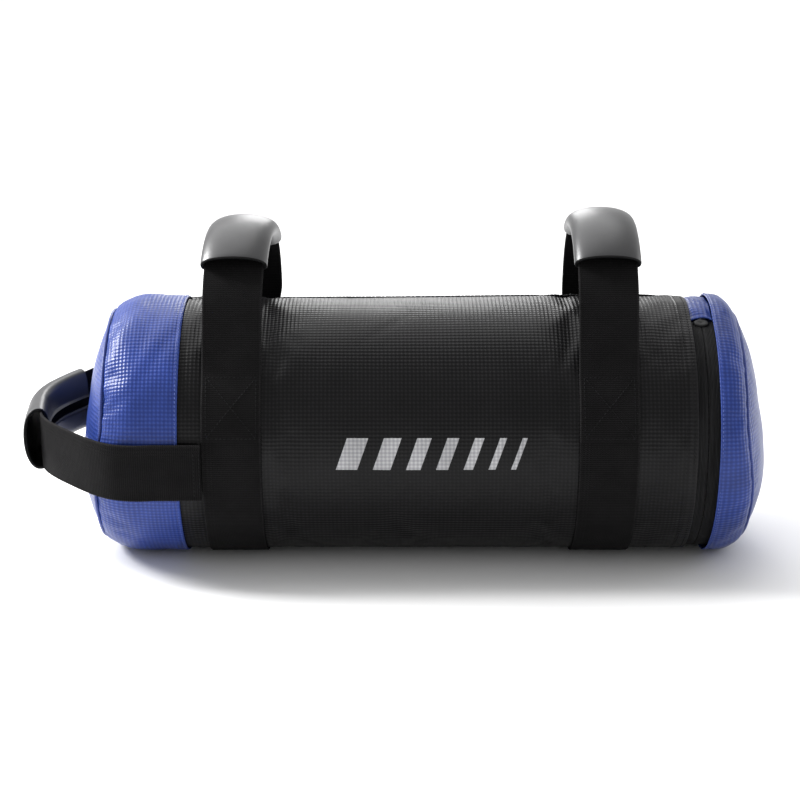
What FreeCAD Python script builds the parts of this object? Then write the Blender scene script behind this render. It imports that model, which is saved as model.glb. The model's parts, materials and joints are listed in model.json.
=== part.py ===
import FreeCAD, Part

import math
import os

import Sketcher

"""A weighted training bag: a padded fabric barrel with a zipped end cap, two top handles and one
end handle.

The barrel lies along X with the zipped cap at +X and the end handle at -X. The front faces -Y.
Z = 0 is the floor that the two girth straps rest on. Lengths are millimetres, angles degrees.

Positions round the barrel are given as a clock angle: 0 is the underside, 90 the rear, 180 the
top and 270 the front.
"""

Vec = FreeCAD.Vector

DIMENSIONS = [
    # barrel
    ("barrel_radius", 105.0),
    ("shell_wall", 2.0),
    ("axis_height", 104.1),
    ("shell_flat", 101.5),
    ("layer_gap", 0.15),
    ("fit_gap", 0.3),
    # stations along the barrel
    ("left_dome_x", -250.0),
    ("left_seam_x", -230.5),
    ("left_shoulder_x", -203.0),
    ("left_edge_x", -168.0),
    ("hem_overlap", 6.0),
    ("strap_left_x", -125.0),
    ("strap_right_x", 177.0),
    ("zip_start_x", 248.0),
    ("zip_end_x", 265.0),
    ("right_shoulder_x", 274.7),
    ("right_seam_x", 288.5),
    ("right_dome_x", 310.0),
    ("cap_gap", 0.4),
    # coloured end bands, end discs and their piping
    ("band_radius", 106.8),
    ("band_wall", 1.6),
    ("band_flat", 103.3),
    ("seam_radius", 95.0),
    ("seam_lip", 2.0),
    ("disc_wall", 1.6),
    ("crest_radius", 1.0),
    ("piping_radius", 1.5),
    ("piping_offset", 1.7),
    ("seam_tape_angle", 168.0),
    ("seam_tape_half_angle", 3.2),
    ("seam_tape_thick", 1.05),
    # padding and filling
    ("liner_inner_radius", 84.4),
    ("liner_left_x", -203.5),
    ("liner_right_x", 243.0),
    ("sack_radius", 84.0),
    ("sack_left_x", -203.0),
    ("sack_right_x", 236.0),
    ("sack_corner", 14.0),
    ("sack_wall", 1.4),
    ("neck_radius", 9.0),
    ("neck_end_x", 252.0),
    ("tie_x", 243.0),
    ("tie_radius", 1.8),
    ("pad_radius", 91.0),
    ("pad_depth", 24.0),
    ("pad_bevel", 1.0),
    # webbing
    ("web_width", 48.0),
    ("web_thick", 2.4),
    ("sewn_gap", 0.1),
    ("strap_top_angle", 37.5),
    ("sewn_low_angle", 7.0),
    ("handle_arc_radius", 76.3),
    ("handle_lean", 15.0),
    ("left_handle_top", 178.5),
    ("right_handle_top", 184.5),
    ("tongue_gap", 8.0),
    # end handle
    ("end_handle_reach", 310.0),
    ("end_handle_roll", 4.9),
    ("end_hinge_x", -173.5),
    ("end_lean", 50.0),
    ("end_bend_radius", 25.0),
    ("end_web_offset", 108.9),
    ("end_anchor_thick", 2.2),
    ("end_anchor_offset", 105.3),
    # moulded grips
    ("grip_half_width", 27.0),
    ("grip_crown", 14.0),
    ("grip_side", 3.0),
    ("grip_under", 7.0),
    ("grip_corner", 6.0),
    ("grip_wall", 2.8),
    ("grip_slit", 1.5),
    ("channel_half_width", 24.4),
    ("grip_span", 78.0),
    # zip
    ("gusset_half_angle", 20.5),
    ("gusset_wall", 2.6),
    ("gusset_proud", 0.6),
    ("gusset_gap", 0.2),
    ("garage_angle", 10.5),
    ("zip_slit", 1.6),
    ("tape_radius", 102.85),
    ("tape_thick", 1.0),
    ("coil_width", 2.3),
    ("coil_thick", 1.35),
    ("coil_gap", 0.02),
    ("slider_half_length", 6.0),
    ("slider_half_width", 4.3),
    ("slider_plate", 1.2),
    ("slider_post", 1.0),
    ("slider_play", 0.65),
    ("lug_inner", 2.8),
    ("lug_thick", 1.0),
    ("lug_length", 2.4),
    ("pull_lift", 0.7),
    ("pull_length", 30.0),
    ("pull_half_width", 4.5),
    ("pull_thick", 1.6),
    ("pull_corner", 2.0),
    ("pull_hole_length", 7.0),
    ("pull_hole_end", 4.0),
]

ALONG_X = "rotation(vector(0; 1; 0); 90)"
CALC = "Calc."
# the blocks and outlines that only cut reach well past what they cut
FLOOR_BLOCK = 60.0
ROOM = 400.0
OVERSHOOT = 3.0

doc = FreeCAD.newDocument("TrainingBag")
nodes = []


# ---------------------------------------------------------------- the dimension tables

def make_sheet():
    """One row for each driving dimension: its name, its value, and the value's alias."""
    sheet = doc.addObject("Spreadsheet::Sheet", "Dims")
    for row, (name, value) in enumerate(DIMENSIONS, start=1):
        sheet.set(f"A{row}", name)
        sheet.set(f"B{row}", str(value))
        sheet.setAlias(f"B{row}", name)
    doc.recompute()
    return sheet


def calc(name, expression):
    """Keep a worked-out dimension, bound to the sheet, and return its value."""
    if name not in table.PropertiesList:
        table.addProperty("App::PropertyFloat", name, "Worked out")
    table.setExpression(name, expression)
    table.recompute()
    return getattr(table, name)


def bind(obj, **expressions):
    for prop, expression in expressions.items():
        obj.setExpression(prop, expression)
    return obj


def node(obj, name):
    obj.Label = name
    nodes.append(obj)
    return obj


# ---------------------------------------------------------------- sketches

def role(body, name):
    return next(f for f in body.Origin.OriginFeatures if f.Role == name)


def new_body(name, placement):
    body = doc.addObject("PartDesign::Body", name)
    bind(body, Placement=placement)
    return body


def new_sketch(body, plane, name, offset=None):
    sketch = body.newObject("Sketcher::SketchObject", name)
    sketch.AttachmentSupport = [(role(body, plane), "")]
    sketch.MapMode = "FlatFace"
    if offset:
        sketch.setExpression("AttachmentOffset.Base.z", offset)
    return sketch


def outline(sketch, corners):
    """Draw a closed outline whose every corner is bound to the dimension tables.

    A corner is (x, y) or (x, y, arc): arc = (radius, centre x, centre y) bends the edge that
    leaves it, by less than half a turn.
    """
    first = sketch.GeometryCount
    places = []
    for i, corner in enumerate(corners):
        label = f"{sketch.Name}_{first + i}"
        places.append(Vec(calc(label + "_a", corner[0]), calc(label + "_b", corner[1]), 0))

    ends = []
    for i, corner in enumerate(corners):
        start, end = places[i], places[(i + 1) % len(corners)]
        if len(corner) == 2:
            sketch.addGeometry(Part.LineSegment(start, end))
            ends.append((1, 2))
            continue
        label = f"{sketch.Name}_{first + i}"
        radius = calc(label + "_r", corner[2][0])
        centre = Vec(calc(label + "_m", corner[2][1]), calc(label + "_n", corner[2][2]), 0)
        turns = [math.atan2(p.y - centre.y, p.x - centre.x) for p in (start, end)]
        sweep = (turns[1] - turns[0]) % math.tau
        forward = sweep < math.pi
        first_turn = turns[0] if forward else turns[1]
        last_turn = first_turn + (sweep if forward else math.tau - sweep)
        circle = Part.Circle(centre, Vec(0, 0, 1), radius)
        index = sketch.addGeometry(Part.ArcOfCircle(circle, first_turn, last_turn))
        ends.append((1, 2) if forward else (2, 1))
        number = sketch.addConstraint(Sketcher.Constraint("Radius", index, radius))
        sketch.setExpression(f"Constraints[{number}]", f"{CALC}{label}_r")

    for i in range(len(corners)):
        after = (i + 1) % len(corners)
        sketch.addConstraint(Sketcher.Constraint(
            "Coincident", first + i, ends[i][1], first + after, ends[after][0]))
    for i, place in enumerate(places):
        label = f"{sketch.Name}_{first + i}"
        for kind, value, tail in (("DistanceX", place.x, "_a"), ("DistanceY", place.y, "_b")):
            number = sketch.addConstraint(Sketcher.Constraint(
                kind, -1, 1, first + i, ends[i][0], value))
            sketch.setExpression(f"Constraints[{number}]", f"{CALC}{label}{tail}")
    return sketch


def revolve(name, corners, placement, angle=None):
    """A body turned about its own X axis from an outline in its XZ plane."""
    body = new_body(name, placement)
    sketch = outline(new_sketch(body, "XZ_Plane", name + "_profile"), corners)
    turn = body.newObject("PartDesign::Revolution", name + "_turn")
    turn.Profile = sketch
    turn.ReferenceAxis = (role(body, "X_Axis"), [""])
    sketch.Visibility = False
    if angle:
        turn.Midplane = True
        turn.setExpression("Angle", angle)
    return body


def pad(body, sketch, length, both_ways=True):
    feature = body.newObject("PartDesign::Pad", sketch.Name + "_pad")
    feature.Profile = sketch
    feature.Midplane = both_ways
    feature.setExpression("Length", length)
    return feature


def cut_through(body, sketch):
    feature = body.newObject("PartDesign::Pocket", sketch.Name + "_cut")
    feature.Profile = sketch
    feature.Type = "ThroughAll"
    feature.Midplane = True
    return feature


# ---------------------------------------------------------------- primitives on the barrel axis

def axis_placement(x="0", turn="0"):
    return (f"placement(vector({x}; 0; Dims.axis_height); "
            f"rotation(vector(1; 0; 0); {turn}) * {ALONG_X})")


def on_axis():
    return "placement(vector(0; 0; Dims.axis_height); rotation(vector(0; 0; 1); 0))"


def cylinder(name, radius, x_start, length, start="0", sweep="360"):
    """A cylinder, or a wedge of one, along the barrel axis."""
    obj = doc.addObject("Part::Cylinder", name)
    return bind(obj, Radius=radius, Height=length, Angle=sweep,
                Placement=axis_placement(x_start, start))


def boolean(kind, name, base, tool):
    obj = doc.addObject("Part::" + kind, name)
    obj.Base = base
    obj.Tool = tool
    return obj


def flattened(solid, flat):
    """Cut a solid off level, the given distance below the barrel axis."""
    block = doc.addObject("Part::Box", solid.Name + "_floor")
    block.Length = 2 * ROOM
    block.Width = ROOM
    block.Height = FLOOR_BLOCK
    bind(block, Placement=f"placement(vector({-ROOM}; {-ROOM / 2}; "
                          f"Dims.axis_height - ({flat}) - {FLOOR_BLOCK}); "
                          f"rotation(vector(0; 0; 1); 0))")
    return boolean("Cut", solid.Name + "_flat", solid, block)


def ring(name, inner, outer, x_start, length, start="0", sweep="360"):
    outside = cylinder(name + "_outside", outer, x_start, length, start, sweep)
    inside = cylinder(name + "_inside", inner, x_start, length)
    return boolean("Cut", name, outside, inside)


def flat_ring(name, inner, outer, inner_flat, outer_flat, x_start, length, start="0", sweep="360"):
    """A ring, or part of one, with a level underside inside and out."""
    outside = flattened(cylinder(name + "_outside", outer, x_start, length, start, sweep), outer_flat)
    inside = flattened(cylinder(name + "_inside", inner, x_start, length), inner_flat)
    return boolean("Cut", name, outside, inside)


def group(name, members):
    obj = doc.addObject("Part::Compound", name)
    obj.Links = members
    return obj


def torus(name, x, major, minor):
    obj = doc.addObject("Part::Torus", name)
    return bind(obj, Radius1=major, Radius2=minor, Placement=axis_placement(x))


# ---------------------------------------------------------------- the barrel

def make_barrel():
    start = "(Dims.left_edge_x - Dims.hem_overlap)"
    shell = flat_ring(
        "barrel_shell", "Dims.barrel_radius - Dims.shell_wall", "Dims.barrel_radius",
        "Dims.shell_flat - Dims.shell_wall", "Dims.shell_flat",
        start, f"Dims.zip_start_x - {start}")
    node(shell, "barrel_shell")

    tape_start = "(Dims.left_edge_x + Dims.fit_gap)"
    tape = ring(
        "barrel_seam_tape", "Dims.barrel_radius + Dims.layer_gap",
        "Dims.barrel_radius + Dims.layer_gap + Dims.seam_tape_thick",
        tape_start, f"Dims.zip_start_x - {tape_start}",
        "Dims.seam_tape_angle - Dims.seam_tape_half_angle", "2 * Dims.seam_tape_half_angle")
    node(tape, "barrel_seam_tape")

    outside = flattened(
        cylinder("foam_liner_outside", "Dims.barrel_radius - Dims.shell_wall - Dims.fit_gap",
                 "Dims.liner_left_x", "Dims.liner_right_x - Dims.liner_left_x"),
        "Dims.shell_flat - Dims.shell_wall - Dims.fit_gap")
    bore = cylinder("foam_liner_bore", "Dims.liner_inner_radius", "Dims.liner_left_x",
                    "Dims.liner_right_x - Dims.liner_left_x")
    node(boolean("Cut", "foam_liner", outside, bore), "foam_liner")


def sack_profile(inset):
    left = f"(Dims.sack_left_x + {inset})"
    right = f"(Dims.sack_right_x - {inset})"
    top = f"(Dims.sack_radius - {inset})"
    corner = f"(Dims.sack_corner - {inset})"
    shoulder = f"({top} - {corner})"
    return left, right, top, corner, shoulder


def make_filling():
    """The inner sack of sand: a closed bag, gathered to a neck and tied."""
    left, right, top, corner, shoulder = sack_profile("0")
    sack = revolve("weight_sack_body", [
        (left, "0"),
        (left, shoulder, (corner, f"{left} + {corner}", shoulder)),
        (f"{left} + {corner}", top),
        (f"{right} - {corner}", top, (corner, f"{right} - {corner}", shoulder)),
        (right, shoulder),
        (right, "Dims.neck_radius"),
        ("Dims.neck_end_x", "Dims.neck_radius"),
        ("Dims.neck_end_x", "0"),
    ], on_axis())
    inset = "Dims.sack_wall"
    left, right, top, corner, shoulder = sack_profile(inset)
    corners = [
        (left, "0"),
        (left, shoulder, (corner, f"{left} + {corner}", shoulder)),
        (f"{left} + {corner}", top),
        (f"{right} - {corner}", top, (corner, f"{right} - {corner}", shoulder)),
        (right, shoulder),
        (right, "0"),
    ]
    sand = revolve("sand_fill_body", corners, on_axis())
    node(boolean("Cut", "weight_sack", sack, sand), "weight_sack")
    node(sand, "sand_fill")
    tie = torus("sack_tie", "Dims.tie_x", "Dims.neck_radius + Dims.tie_radius + Dims.layer_gap",
                "Dims.tie_radius")
    node(tie, "sack_tie")


# ---------------------------------------------------------------- the coloured ends

def make_end(side, edge, far_way):
    """The band, piping, disc and padding of one end; far_way is +1 or -1 along X."""
    shoulder, seam = f"Dims.{side}_shoulder_x", f"Dims.{side}_seam_x"
    dome = f"Dims.{side}_dome_x"
    drop = "(Dims.band_radius - Dims.seam_radius)"
    bend = f"{side}_shoulder_radius"
    calc(bend, f"(({seam} - {shoulder})^2 + {drop}^2) / (2 * {drop})")
    bend = CALC + bend
    hub = f"(Dims.band_radius - {bend})"
    normal_x = f"(({seam} - {shoulder}) / {bend})"
    normal_r = f"((Dims.seam_radius - {hub}) / {bend})"
    inner_bend = f"({bend} - Dims.band_wall)"
    inner_end_x = f"({shoulder} + {inner_bend} * {normal_x})"
    inner_end_r = f"({hub} + {inner_bend} * {normal_r})"
    lip = "(Dims.seam_radius - Dims.seam_lip)"
    inner_radius = "(Dims.band_radius - Dims.band_wall)"

    outside = revolve(f"{side}_band_outside", [
        (edge, "0"),
        (edge, "Dims.band_radius"),
        (shoulder, "Dims.band_radius", (bend, shoulder, hub)),
        (seam, "Dims.seam_radius"),
        (seam, "0"),
    ], on_axis())
    inside = revolve(f"{side}_band_inside", [
        (f"{edge} - {far_way}", "0"),
        (f"{edge} - {far_way}", inner_radius),
        (shoulder, inner_radius, (inner_bend, shoulder, hub)),
        (inner_end_x, inner_end_r),
        (inner_end_x, lip),
        (f"{seam} + {far_way}", lip),
        (f"{seam} + {far_way}", "0"),
    ], on_axis())
    band = boolean("Cut", f"{side}_end_band", flattened(outside, "Dims.band_flat"),
                   flattened(inside, "Dims.band_flat - Dims.band_wall"))
    node(band, f"{side}_end_band")

    piping = torus(f"{side}_end_piping", f"{seam} + Dims.piping_offset * {normal_x}",
                   f"Dims.seam_radius + Dims.piping_offset * {normal_r}", "Dims.piping_radius")
    node(piping, f"{side}_end_piping")

    rise = f"abs({dome} - {seam})"
    rim = "(Dims.seam_radius - Dims.fit_gap)"
    ball = f"{side}_dome_radius"
    calc(ball, f"({rim}^2 + {rise}^2) / (2 * {rise})")
    ball = CALC + ball
    ball_x = f"({dome} - {far_way} * {ball})"
    inner_ball = f"({ball} - Dims.disc_wall)"
    inner_rim = f"sqrt({inner_ball}^2 - ({seam} - {ball_x})^2)"
    crest = "Dims.crest_radius"
    crest_x = f"({ball_x} + {far_way} * sqrt({ball}^2 - {crest}^2))"
    inner_crest_x = f"({ball_x} + {far_way} * sqrt({inner_ball}^2 - {crest}^2))"
    disc = revolve(f"{side}_disc_body", [
        (seam, inner_rim),
        (seam, rim, (ball, ball_x, "0")),
        (crest_x, crest),
        (crest_x, "0"),
        (inner_crest_x, "0"),
        (inner_crest_x, crest, (inner_ball, ball_x, "0")),
    ], on_axis())
    node(disc, f"{side}_end_disc")

    pad_ball = f"({inner_ball} - 2 * Dims.layer_gap)"
    pad_rim = "Dims.pad_radius - Dims.pad_bevel"
    foam = revolve(f"{side}_pad_body", [
        (f"{seam} - {far_way} * Dims.pad_depth", "0"),
        (f"{seam} - {far_way} * Dims.pad_depth", "Dims.pad_radius"),
        (f"{ball_x} + {far_way} * sqrt({pad_ball}^2 - ({pad_rim})^2)", pad_rim,
         (pad_ball, ball_x, "0")),
        (f"{ball_x} + {far_way} * sqrt({pad_ball}^2 - {crest}^2)", crest),
        (f"{ball_x} + {far_way} * sqrt({pad_ball}^2 - {crest}^2)", "0"),
    ], on_axis())
    node(foam, f"{side}_end_pad")


# ---------------------------------------------------------------- webbing

def strap_layers():
    inner = "Dims.barrel_radius + Dims.layer_gap"
    outer = f"{inner} + Dims.web_thick"
    return inner, outer


def make_girth_strap(side):
    """The strap that runs under the barrel from the front handle seam to the rear one."""
    x_start = f"Dims.strap_{side}_x - Dims.web_width / 2"
    inner, outer = strap_layers()
    strap = flat_ring(
        f"girth_strap_{side}", inner, outer, "Dims.shell_flat + Dims.layer_gap", "Dims.axis_height",
        x_start, "Dims.web_width", "270 - Dims.strap_top_angle", "180 + 2 * Dims.strap_top_angle")
    node(strap, f"girth_strap_{side}")


def make_handle_anchors(side):
    """The ends of the handle webbing, sewn flat on the girth strap at front and rear."""
    x_start = f"Dims.strap_{side}_x - Dims.web_width / 2"
    inner = strap_layers()[1] + " + Dims.sewn_gap"
    outer = f"{inner} + Dims.web_thick"
    sweep = "Dims.strap_top_angle - Dims.sewn_low_angle"
    ends = []
    for place, start in (("front", "270 - Dims.strap_top_angle"),
                         ("rear", "90 + Dims.sewn_low_angle")):
        ends.append(ring(f"handle_{side}_{place}_anchor", inner, outer, x_start,
                         "Dims.web_width", start, sweep))
    node(group(f"handle_{side}_anchors", ends), f"handle_{side}_anchors")


def tongue(body, name, hinge_z):
    """Round the webbing's lower ends, so that they swing clear of what they are sewn to."""
    half = "Dims.web_width / 2"
    beyond = f"{half} + {OVERSHOOT}"
    low = f"({hinge_z}) - Dims.web_width"
    arc = (half, "0", hinge_z)
    corners = [
        (f"-({beyond})", hinge_z),
        (f"-({half})", hinge_z, arc),
        ("0", f"({hinge_z}) - {half}", arc),
        (half, hinge_z),
        (beyond, hinge_z),
        (beyond, low),
        (f"-({beyond})", low),
    ]
    cut_through(body, outline(new_sketch(body, "XZ_Plane", name + "_tongue"), corners))


def loop_corners(lean, leg_ends, bends=None):
    """The webbing's outline in the loop's plane: outside from front to rear, then back inside.

    leg_ends gives, for each face, the leg's last corner; bends gives the corners and the arc of
    the bend above it, where the leg has one.
    """
    corners = []
    for face, sign in (("outer", "+"), ("inner", "-")):
        radius = f"(Dims.handle_arc_radius {sign} Dims.web_thick / 2)"
        half = [leg_ends[face]]
        if bends:
            low, high, arc_radius, arc_y, arc_z = bends[face]
            half += [low, high]
        half.append((f"({radius} * cos({lean}))", f"{radius} * sin({lean})"))
        side = [(f"-({y})", z) for y, z in half] + half[::-1]
        arcs = {len(half) - 1: (radius, "0", "0")}
        if bends:
            arcs[1] = (arc_radius, f"-({arc_y})", arc_z)
            arcs[len(side) - 3] = (arc_radius, arc_y, arc_z)
        if face == "inner":
            side.reverse()
            arcs = {len(side) - 2 - i: arc for i, arc in arcs.items()}
        corners += [(*place, arcs[i]) if i in arcs else place for i, place in enumerate(side)]
    return corners


def make_top_handle(side):
    """The free loop of webbing above the barrel, and its moulded grip."""
    centre_z = f"(Dims.{side}_handle_top - Dims.grip_crown - Dims.handle_arc_radius)"
    calc(f"{side}_hinge_z", "(Dims.barrel_radius + 3 * Dims.layer_gap + 1.5 * Dims.web_thick)"
                            " * sin(Dims.strap_top_angle)")
    hinge = f"({CALC}{side}_hinge_z - {centre_z})"
    lean = "Dims.handle_lean"
    ends = {}
    for face, sign in (("outer", "+"), ("inner", "-")):
        radius = f"(Dims.handle_arc_radius {sign} Dims.web_thick / 2)"
        leg = (f"((Dims.handle_arc_radius * sin({lean}) - {hinge} - Dims.tongue_gap)"
               f" / cos({lean}))")
        ends[face] = (f"{radius} * cos({lean}) + {leg} * sin({lean})",
                      f"{radius} * sin({lean}) - {leg} * cos({lean})")
    placement = (f"placement(vector(Dims.strap_{side}_x; 0; Dims.axis_height + {centre_z}); "
                 "rotation(vector(0; 0; 1); 0))")
    body = new_body(f"handle_{side}_web_body", placement)
    sketch = outline(new_sketch(body, "YZ_Plane", f"handle_{side}_loop"), loop_corners(lean, ends))
    pad(body, sketch, "Dims.web_width")
    tongue(body, f"handle_{side}", f"{hinge} + Dims.tongue_gap + Dims.web_width / 2")
    node(body, f"handle_{side}_webbing")
    make_grip(f"handle_{side}_grip", placement)


def make_end_handle():
    """The loop past the left end, rolled a little about the bag's axis, with the same grip."""
    lean = "Dims.end_lean"
    centre = "(Dims.end_handle_reach - Dims.grip_crown - Dims.handle_arc_radius)"
    bend = "Dims.end_bend_radius"
    corner_z = (f"(Dims.handle_arc_radius * sin({lean}) - (Dims.end_web_offset"
                f" - Dims.handle_arc_radius * cos({lean})) / tan({lean}))")
    bend_y = f"(Dims.end_web_offset - {bend})"
    bend_z = f"({corner_z} - {bend} * tan({lean} / 2))"
    hinge = f"(-Dims.end_hinge_x - {centre})"
    end_z = f"{hinge} - Dims.web_width / 2"
    ends, bends = {}, {}
    for face, sign in (("outer", "+"), ("inner", "-")):
        radius = f"({bend} {sign} Dims.web_thick / 2)"
        ends[face] = (f"{bend_y} + {radius}", end_z)
        bends[face] = (
            (f"{bend_y} + {radius}", bend_z),
            (f"{bend_y} + {radius} * cos({lean})", f"{bend_z} + {radius} * sin({lean})"),
            radius, bend_y, bend_z)
    roll = "rotation(vector(1; 0; 0); Dims.end_handle_roll)"
    placement = (f"placement(vector(-{centre}; 0; Dims.axis_height); "
                 f"{roll} * rotation(vector(0; 1; 0); -90))")
    body = new_body("end_handle_web_body", placement)
    sketch = outline(new_sketch(body, "YZ_Plane", "end_handle_loop"),
                     loop_corners(lean, ends, bends))
    pad(body, sketch, "Dims.web_width")
    tongue(body, "end_handle", hinge)
    node(body, "end_handle_webbing")
    make_grip("end_handle_grip", placement)

    tabs = []
    strap_edge = "(Dims.strap_left_x - Dims.web_width / 2 - Dims.fit_gap)"
    tab_end = "(Dims.left_edge_x + Dims.fit_gap)"
    for place, y_start in (("front", "-Dims.end_anchor_offset - Dims.end_anchor_thick"),
                           ("rear", "Dims.end_anchor_offset")):
        tab = doc.addObject("Part::Box", f"end_handle_{place}_tab")
        bind(tab, Length=f"{strap_edge} - {tab_end}", Width="Dims.end_anchor_thick",
             Height="Dims.web_width",
             Placement=f"placement(vector(0; 0; Dims.axis_height); {roll})"
                       f" * placement(vector({tab_end}; {y_start}; -Dims.web_width / 2);"
                       " rotation(vector(0; 0; 1); 0))")
        tabs.append(tab)
    node(group("end_handle_anchors", tabs), "end_handle_anchors")


def make_grip(name, placement):
    """A moulded grip: a crowned channel round the webbing, closed by two lips with a slit."""
    arc = "Dims.handle_arc_radius"
    side, top = "Dims.grip_half_width", f"({arc} + Dims.grip_side)"
    sag = "(Dims.grip_crown - Dims.grip_side)"
    crown = f"{name}_crown_radius"
    calc(crown, f"({side}^2 + {sag}^2) / (2 * {sag})")
    crown = CALC + crown
    crown_z = f"({arc} + Dims.grip_crown - {crown})"
    under = f"({arc} - Dims.grip_under)"
    corner = "Dims.grip_corner"
    inner_crown = f"({crown} - Dims.grip_wall)"
    channel = "Dims.channel_half_width"
    channel_top = f"({crown_z} + sqrt({inner_crown}^2 - {channel}^2))"
    floor = f"({under} + Dims.grip_wall)"
    body = revolve(name + "_body", [
        ("Dims.grip_slit", under),
        (f"{side} - {corner}", under, (corner, f"{side} - {corner}", f"{under} + {corner}")),
        (side, f"{under} + {corner}"),
        (side, top, (crown, "0", crown_z)),
        (f"-{side}", top),
        (f"-{side}", f"{under} + {corner}",
         (corner, f"{corner} - {side}", f"{under} + {corner}")),
        (f"{corner} - {side}", under),
        ("-Dims.grip_slit", under),
        ("-Dims.grip_slit", floor),
        (f"-{channel}", floor),
        (f"-{channel}", channel_top, (inner_crown, "0", crown_z)),
        (channel, channel_top),
        (channel, floor),
        ("Dims.grip_slit", floor),
    ], placement, "Dims.grip_span")
    node(body, name)


# ---------------------------------------------------------------- the zip

def make_zip():
    clear = "(Dims.gusset_half_angle + Dims.gusset_gap)"
    start = f"180 + {clear}"
    full = f"360 - 2 * {clear}"
    short = f"{full} - Dims.garage_angle"
    middle = "((Dims.zip_start_x + Dims.zip_end_x) / 2)"
    half_slit = "Dims.zip_slit / 2"
    tape_in = "Dims.tape_radius - Dims.tape_thick"
    coil_in = f"{tape_in} - Dims.coil_thick"

    gusset_top = "(Dims.barrel_radius + Dims.gusset_proud)"
    gusset = ring("zip_gusset", f"{gusset_top} - Dims.gusset_wall", gusset_top,
                  "Dims.zip_start_x + Dims.gusset_gap",
                  "Dims.zip_end_x - Dims.zip_start_x - 2 * Dims.gusset_gap",
                  "180 - Dims.gusset_half_angle", "2 * Dims.gusset_half_angle")
    node(gusset, "zip_gusset")

    tape_width = f"({middle} - {half_slit} - Dims.zip_start_x)"
    node(ring("zip_tape_barrel", tape_in, "Dims.tape_radius", "Dims.zip_start_x", tape_width,
              start, full), "zip_tape_barrel")
    node(ring("zip_tape_cap", tape_in, "Dims.tape_radius", f"{middle} + {half_slit}", tape_width,
              start, short), "zip_tape_cap")
    coil_out = f"{tape_in} - Dims.coil_gap"
    node(ring("zip_coil_barrel", coil_in, coil_out,
              f"{middle} - {half_slit} - Dims.coil_width", "Dims.coil_width",
              start, full), "zip_coil_barrel")
    node(ring("zip_coil_cap", coil_in, coil_out, f"{middle} + {half_slit}",
              "Dims.coil_width", start, short), "zip_coil_cap")


def make_slider():
    """The zip slider, closed and at rest just behind the gusset, and its pull tab."""
    middle = "((Dims.zip_start_x + Dims.zip_end_x) / 2)"
    rest = "(Dims.gusset_half_angle + Dims.garage_angle / 2)"
    placement = (f"placement(vector({middle}; 0; Dims.axis_height); "
                 f"rotation(vector(1; 0; 0); -{rest}))")
    body = new_body("zip_slider_body", placement)
    top = "(Dims.tape_radius + Dims.slider_play)"
    low = "(Dims.tape_radius - Dims.tape_thick - Dims.coil_thick - Dims.slider_play)"
    half, post = "Dims.slider_half_width", "Dims.slider_post / 2"
    plate = "Dims.slider_plate"
    section = [
        (post, top), (half, top), (half, f"{top} + {plate}"),
        (f"-{half}", f"{top} + {plate}"), (f"-{half}", top), (f"-({post})", top),
        (f"-({post})", low), (f"-{half}", low), (f"-{half}", f"{low} - {plate}"),
        (half, f"{low} - {plate}"), (half, low), (post, low),
    ]
    sketch = outline(new_sketch(body, "XZ_Plane", "zip_slider_section"), section)
    pad(body, sketch, "2 * Dims.slider_half_length")

    lift = f"({top} + {plate} + Dims.pull_lift)"
    lug_low, lug_high = f"{top} + {plate} / 2", f"{lift} + Dims.pull_thick"
    near_x, far_x = "Dims.lug_inner", "(Dims.lug_inner + Dims.lug_thick)"
    lugs = new_sketch(body, "XZ_Plane", "zip_slider_lugs")
    for sign in ("", "-"):
        outline(lugs, [(sign + near_x, lug_low), (sign + far_x, lug_low),
                       (sign + far_x, lug_high), (sign + near_x, lug_high)])
    pad(body, lugs, "Dims.lug_length")
    node(body, "zip_slider")

    pull = new_body("zip_pull_body", placement)
    width, thick = "Dims.pull_half_width", "Dims.pull_thick"
    near, far = "-Dims.pull_thick / 2", "Dims.pull_length"
    inset = f"{width} - Dims.pull_corner"
    hole_far = f"{far} - Dims.pull_hole_end"
    hole_near = f"{hole_far} - Dims.pull_hole_length"
    shape = new_sketch(pull, "XY_Plane", "zip_pull_shape", f"{lift} + {thick} / 2")
    outline(shape, [
        (f"-({inset})", near), (inset, near), (width, f"{far} / 2"),
        (width, f"{far} - Dims.pull_corner"), (inset, far), (f"-({inset})", far),
        (f"-{width}", f"{far} - Dims.pull_corner"), (f"-{width}", f"{far} / 2"),
    ])
    outline(shape, [
        (f"-({inset})", hole_near), (inset, hole_near), (inset, hole_far), (f"-({inset})", hole_far),
    ])
    pad(pull, shape, thick)
    node(pull, "zip_pull")


# ---------------------------------------------------------------- checks and export

def check_document():
    for obj in doc.Objects:
        if "Invalid" in obj.State or "Error" in obj.State:
            raise RuntimeError(f"{obj.Label}: {obj.State}")
    for obj in nodes:
        if obj.Shape.isNull() or not obj.Shape.isValid():
            raise RuntimeError(f"{obj.Label}: bad shape")


def export():
    os.makedirs("parts", exist_ok=True)
    for obj in nodes:
        obj.Shape.exportStep(f"parts/{obj.Label}.step")


sheet = make_sheet()
table = doc.addObject("App::VarSet", "Calc")
make_barrel()
make_filling()
make_end("left", "Dims.left_edge_x", -1)
make_end("right", "(Dims.zip_end_x + Dims.cap_gap)", 1)
for strap_side in ("left", "right"):
    make_girth_strap(strap_side)
    make_handle_anchors(strap_side)
    make_top_handle(strap_side)
make_end_handle()
make_zip()
make_slider()
doc.recompute()
check_document()
export()
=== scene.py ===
"""The looks of the weighted training bag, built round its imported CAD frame. Metres, Z up."""

import json
import math

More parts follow.
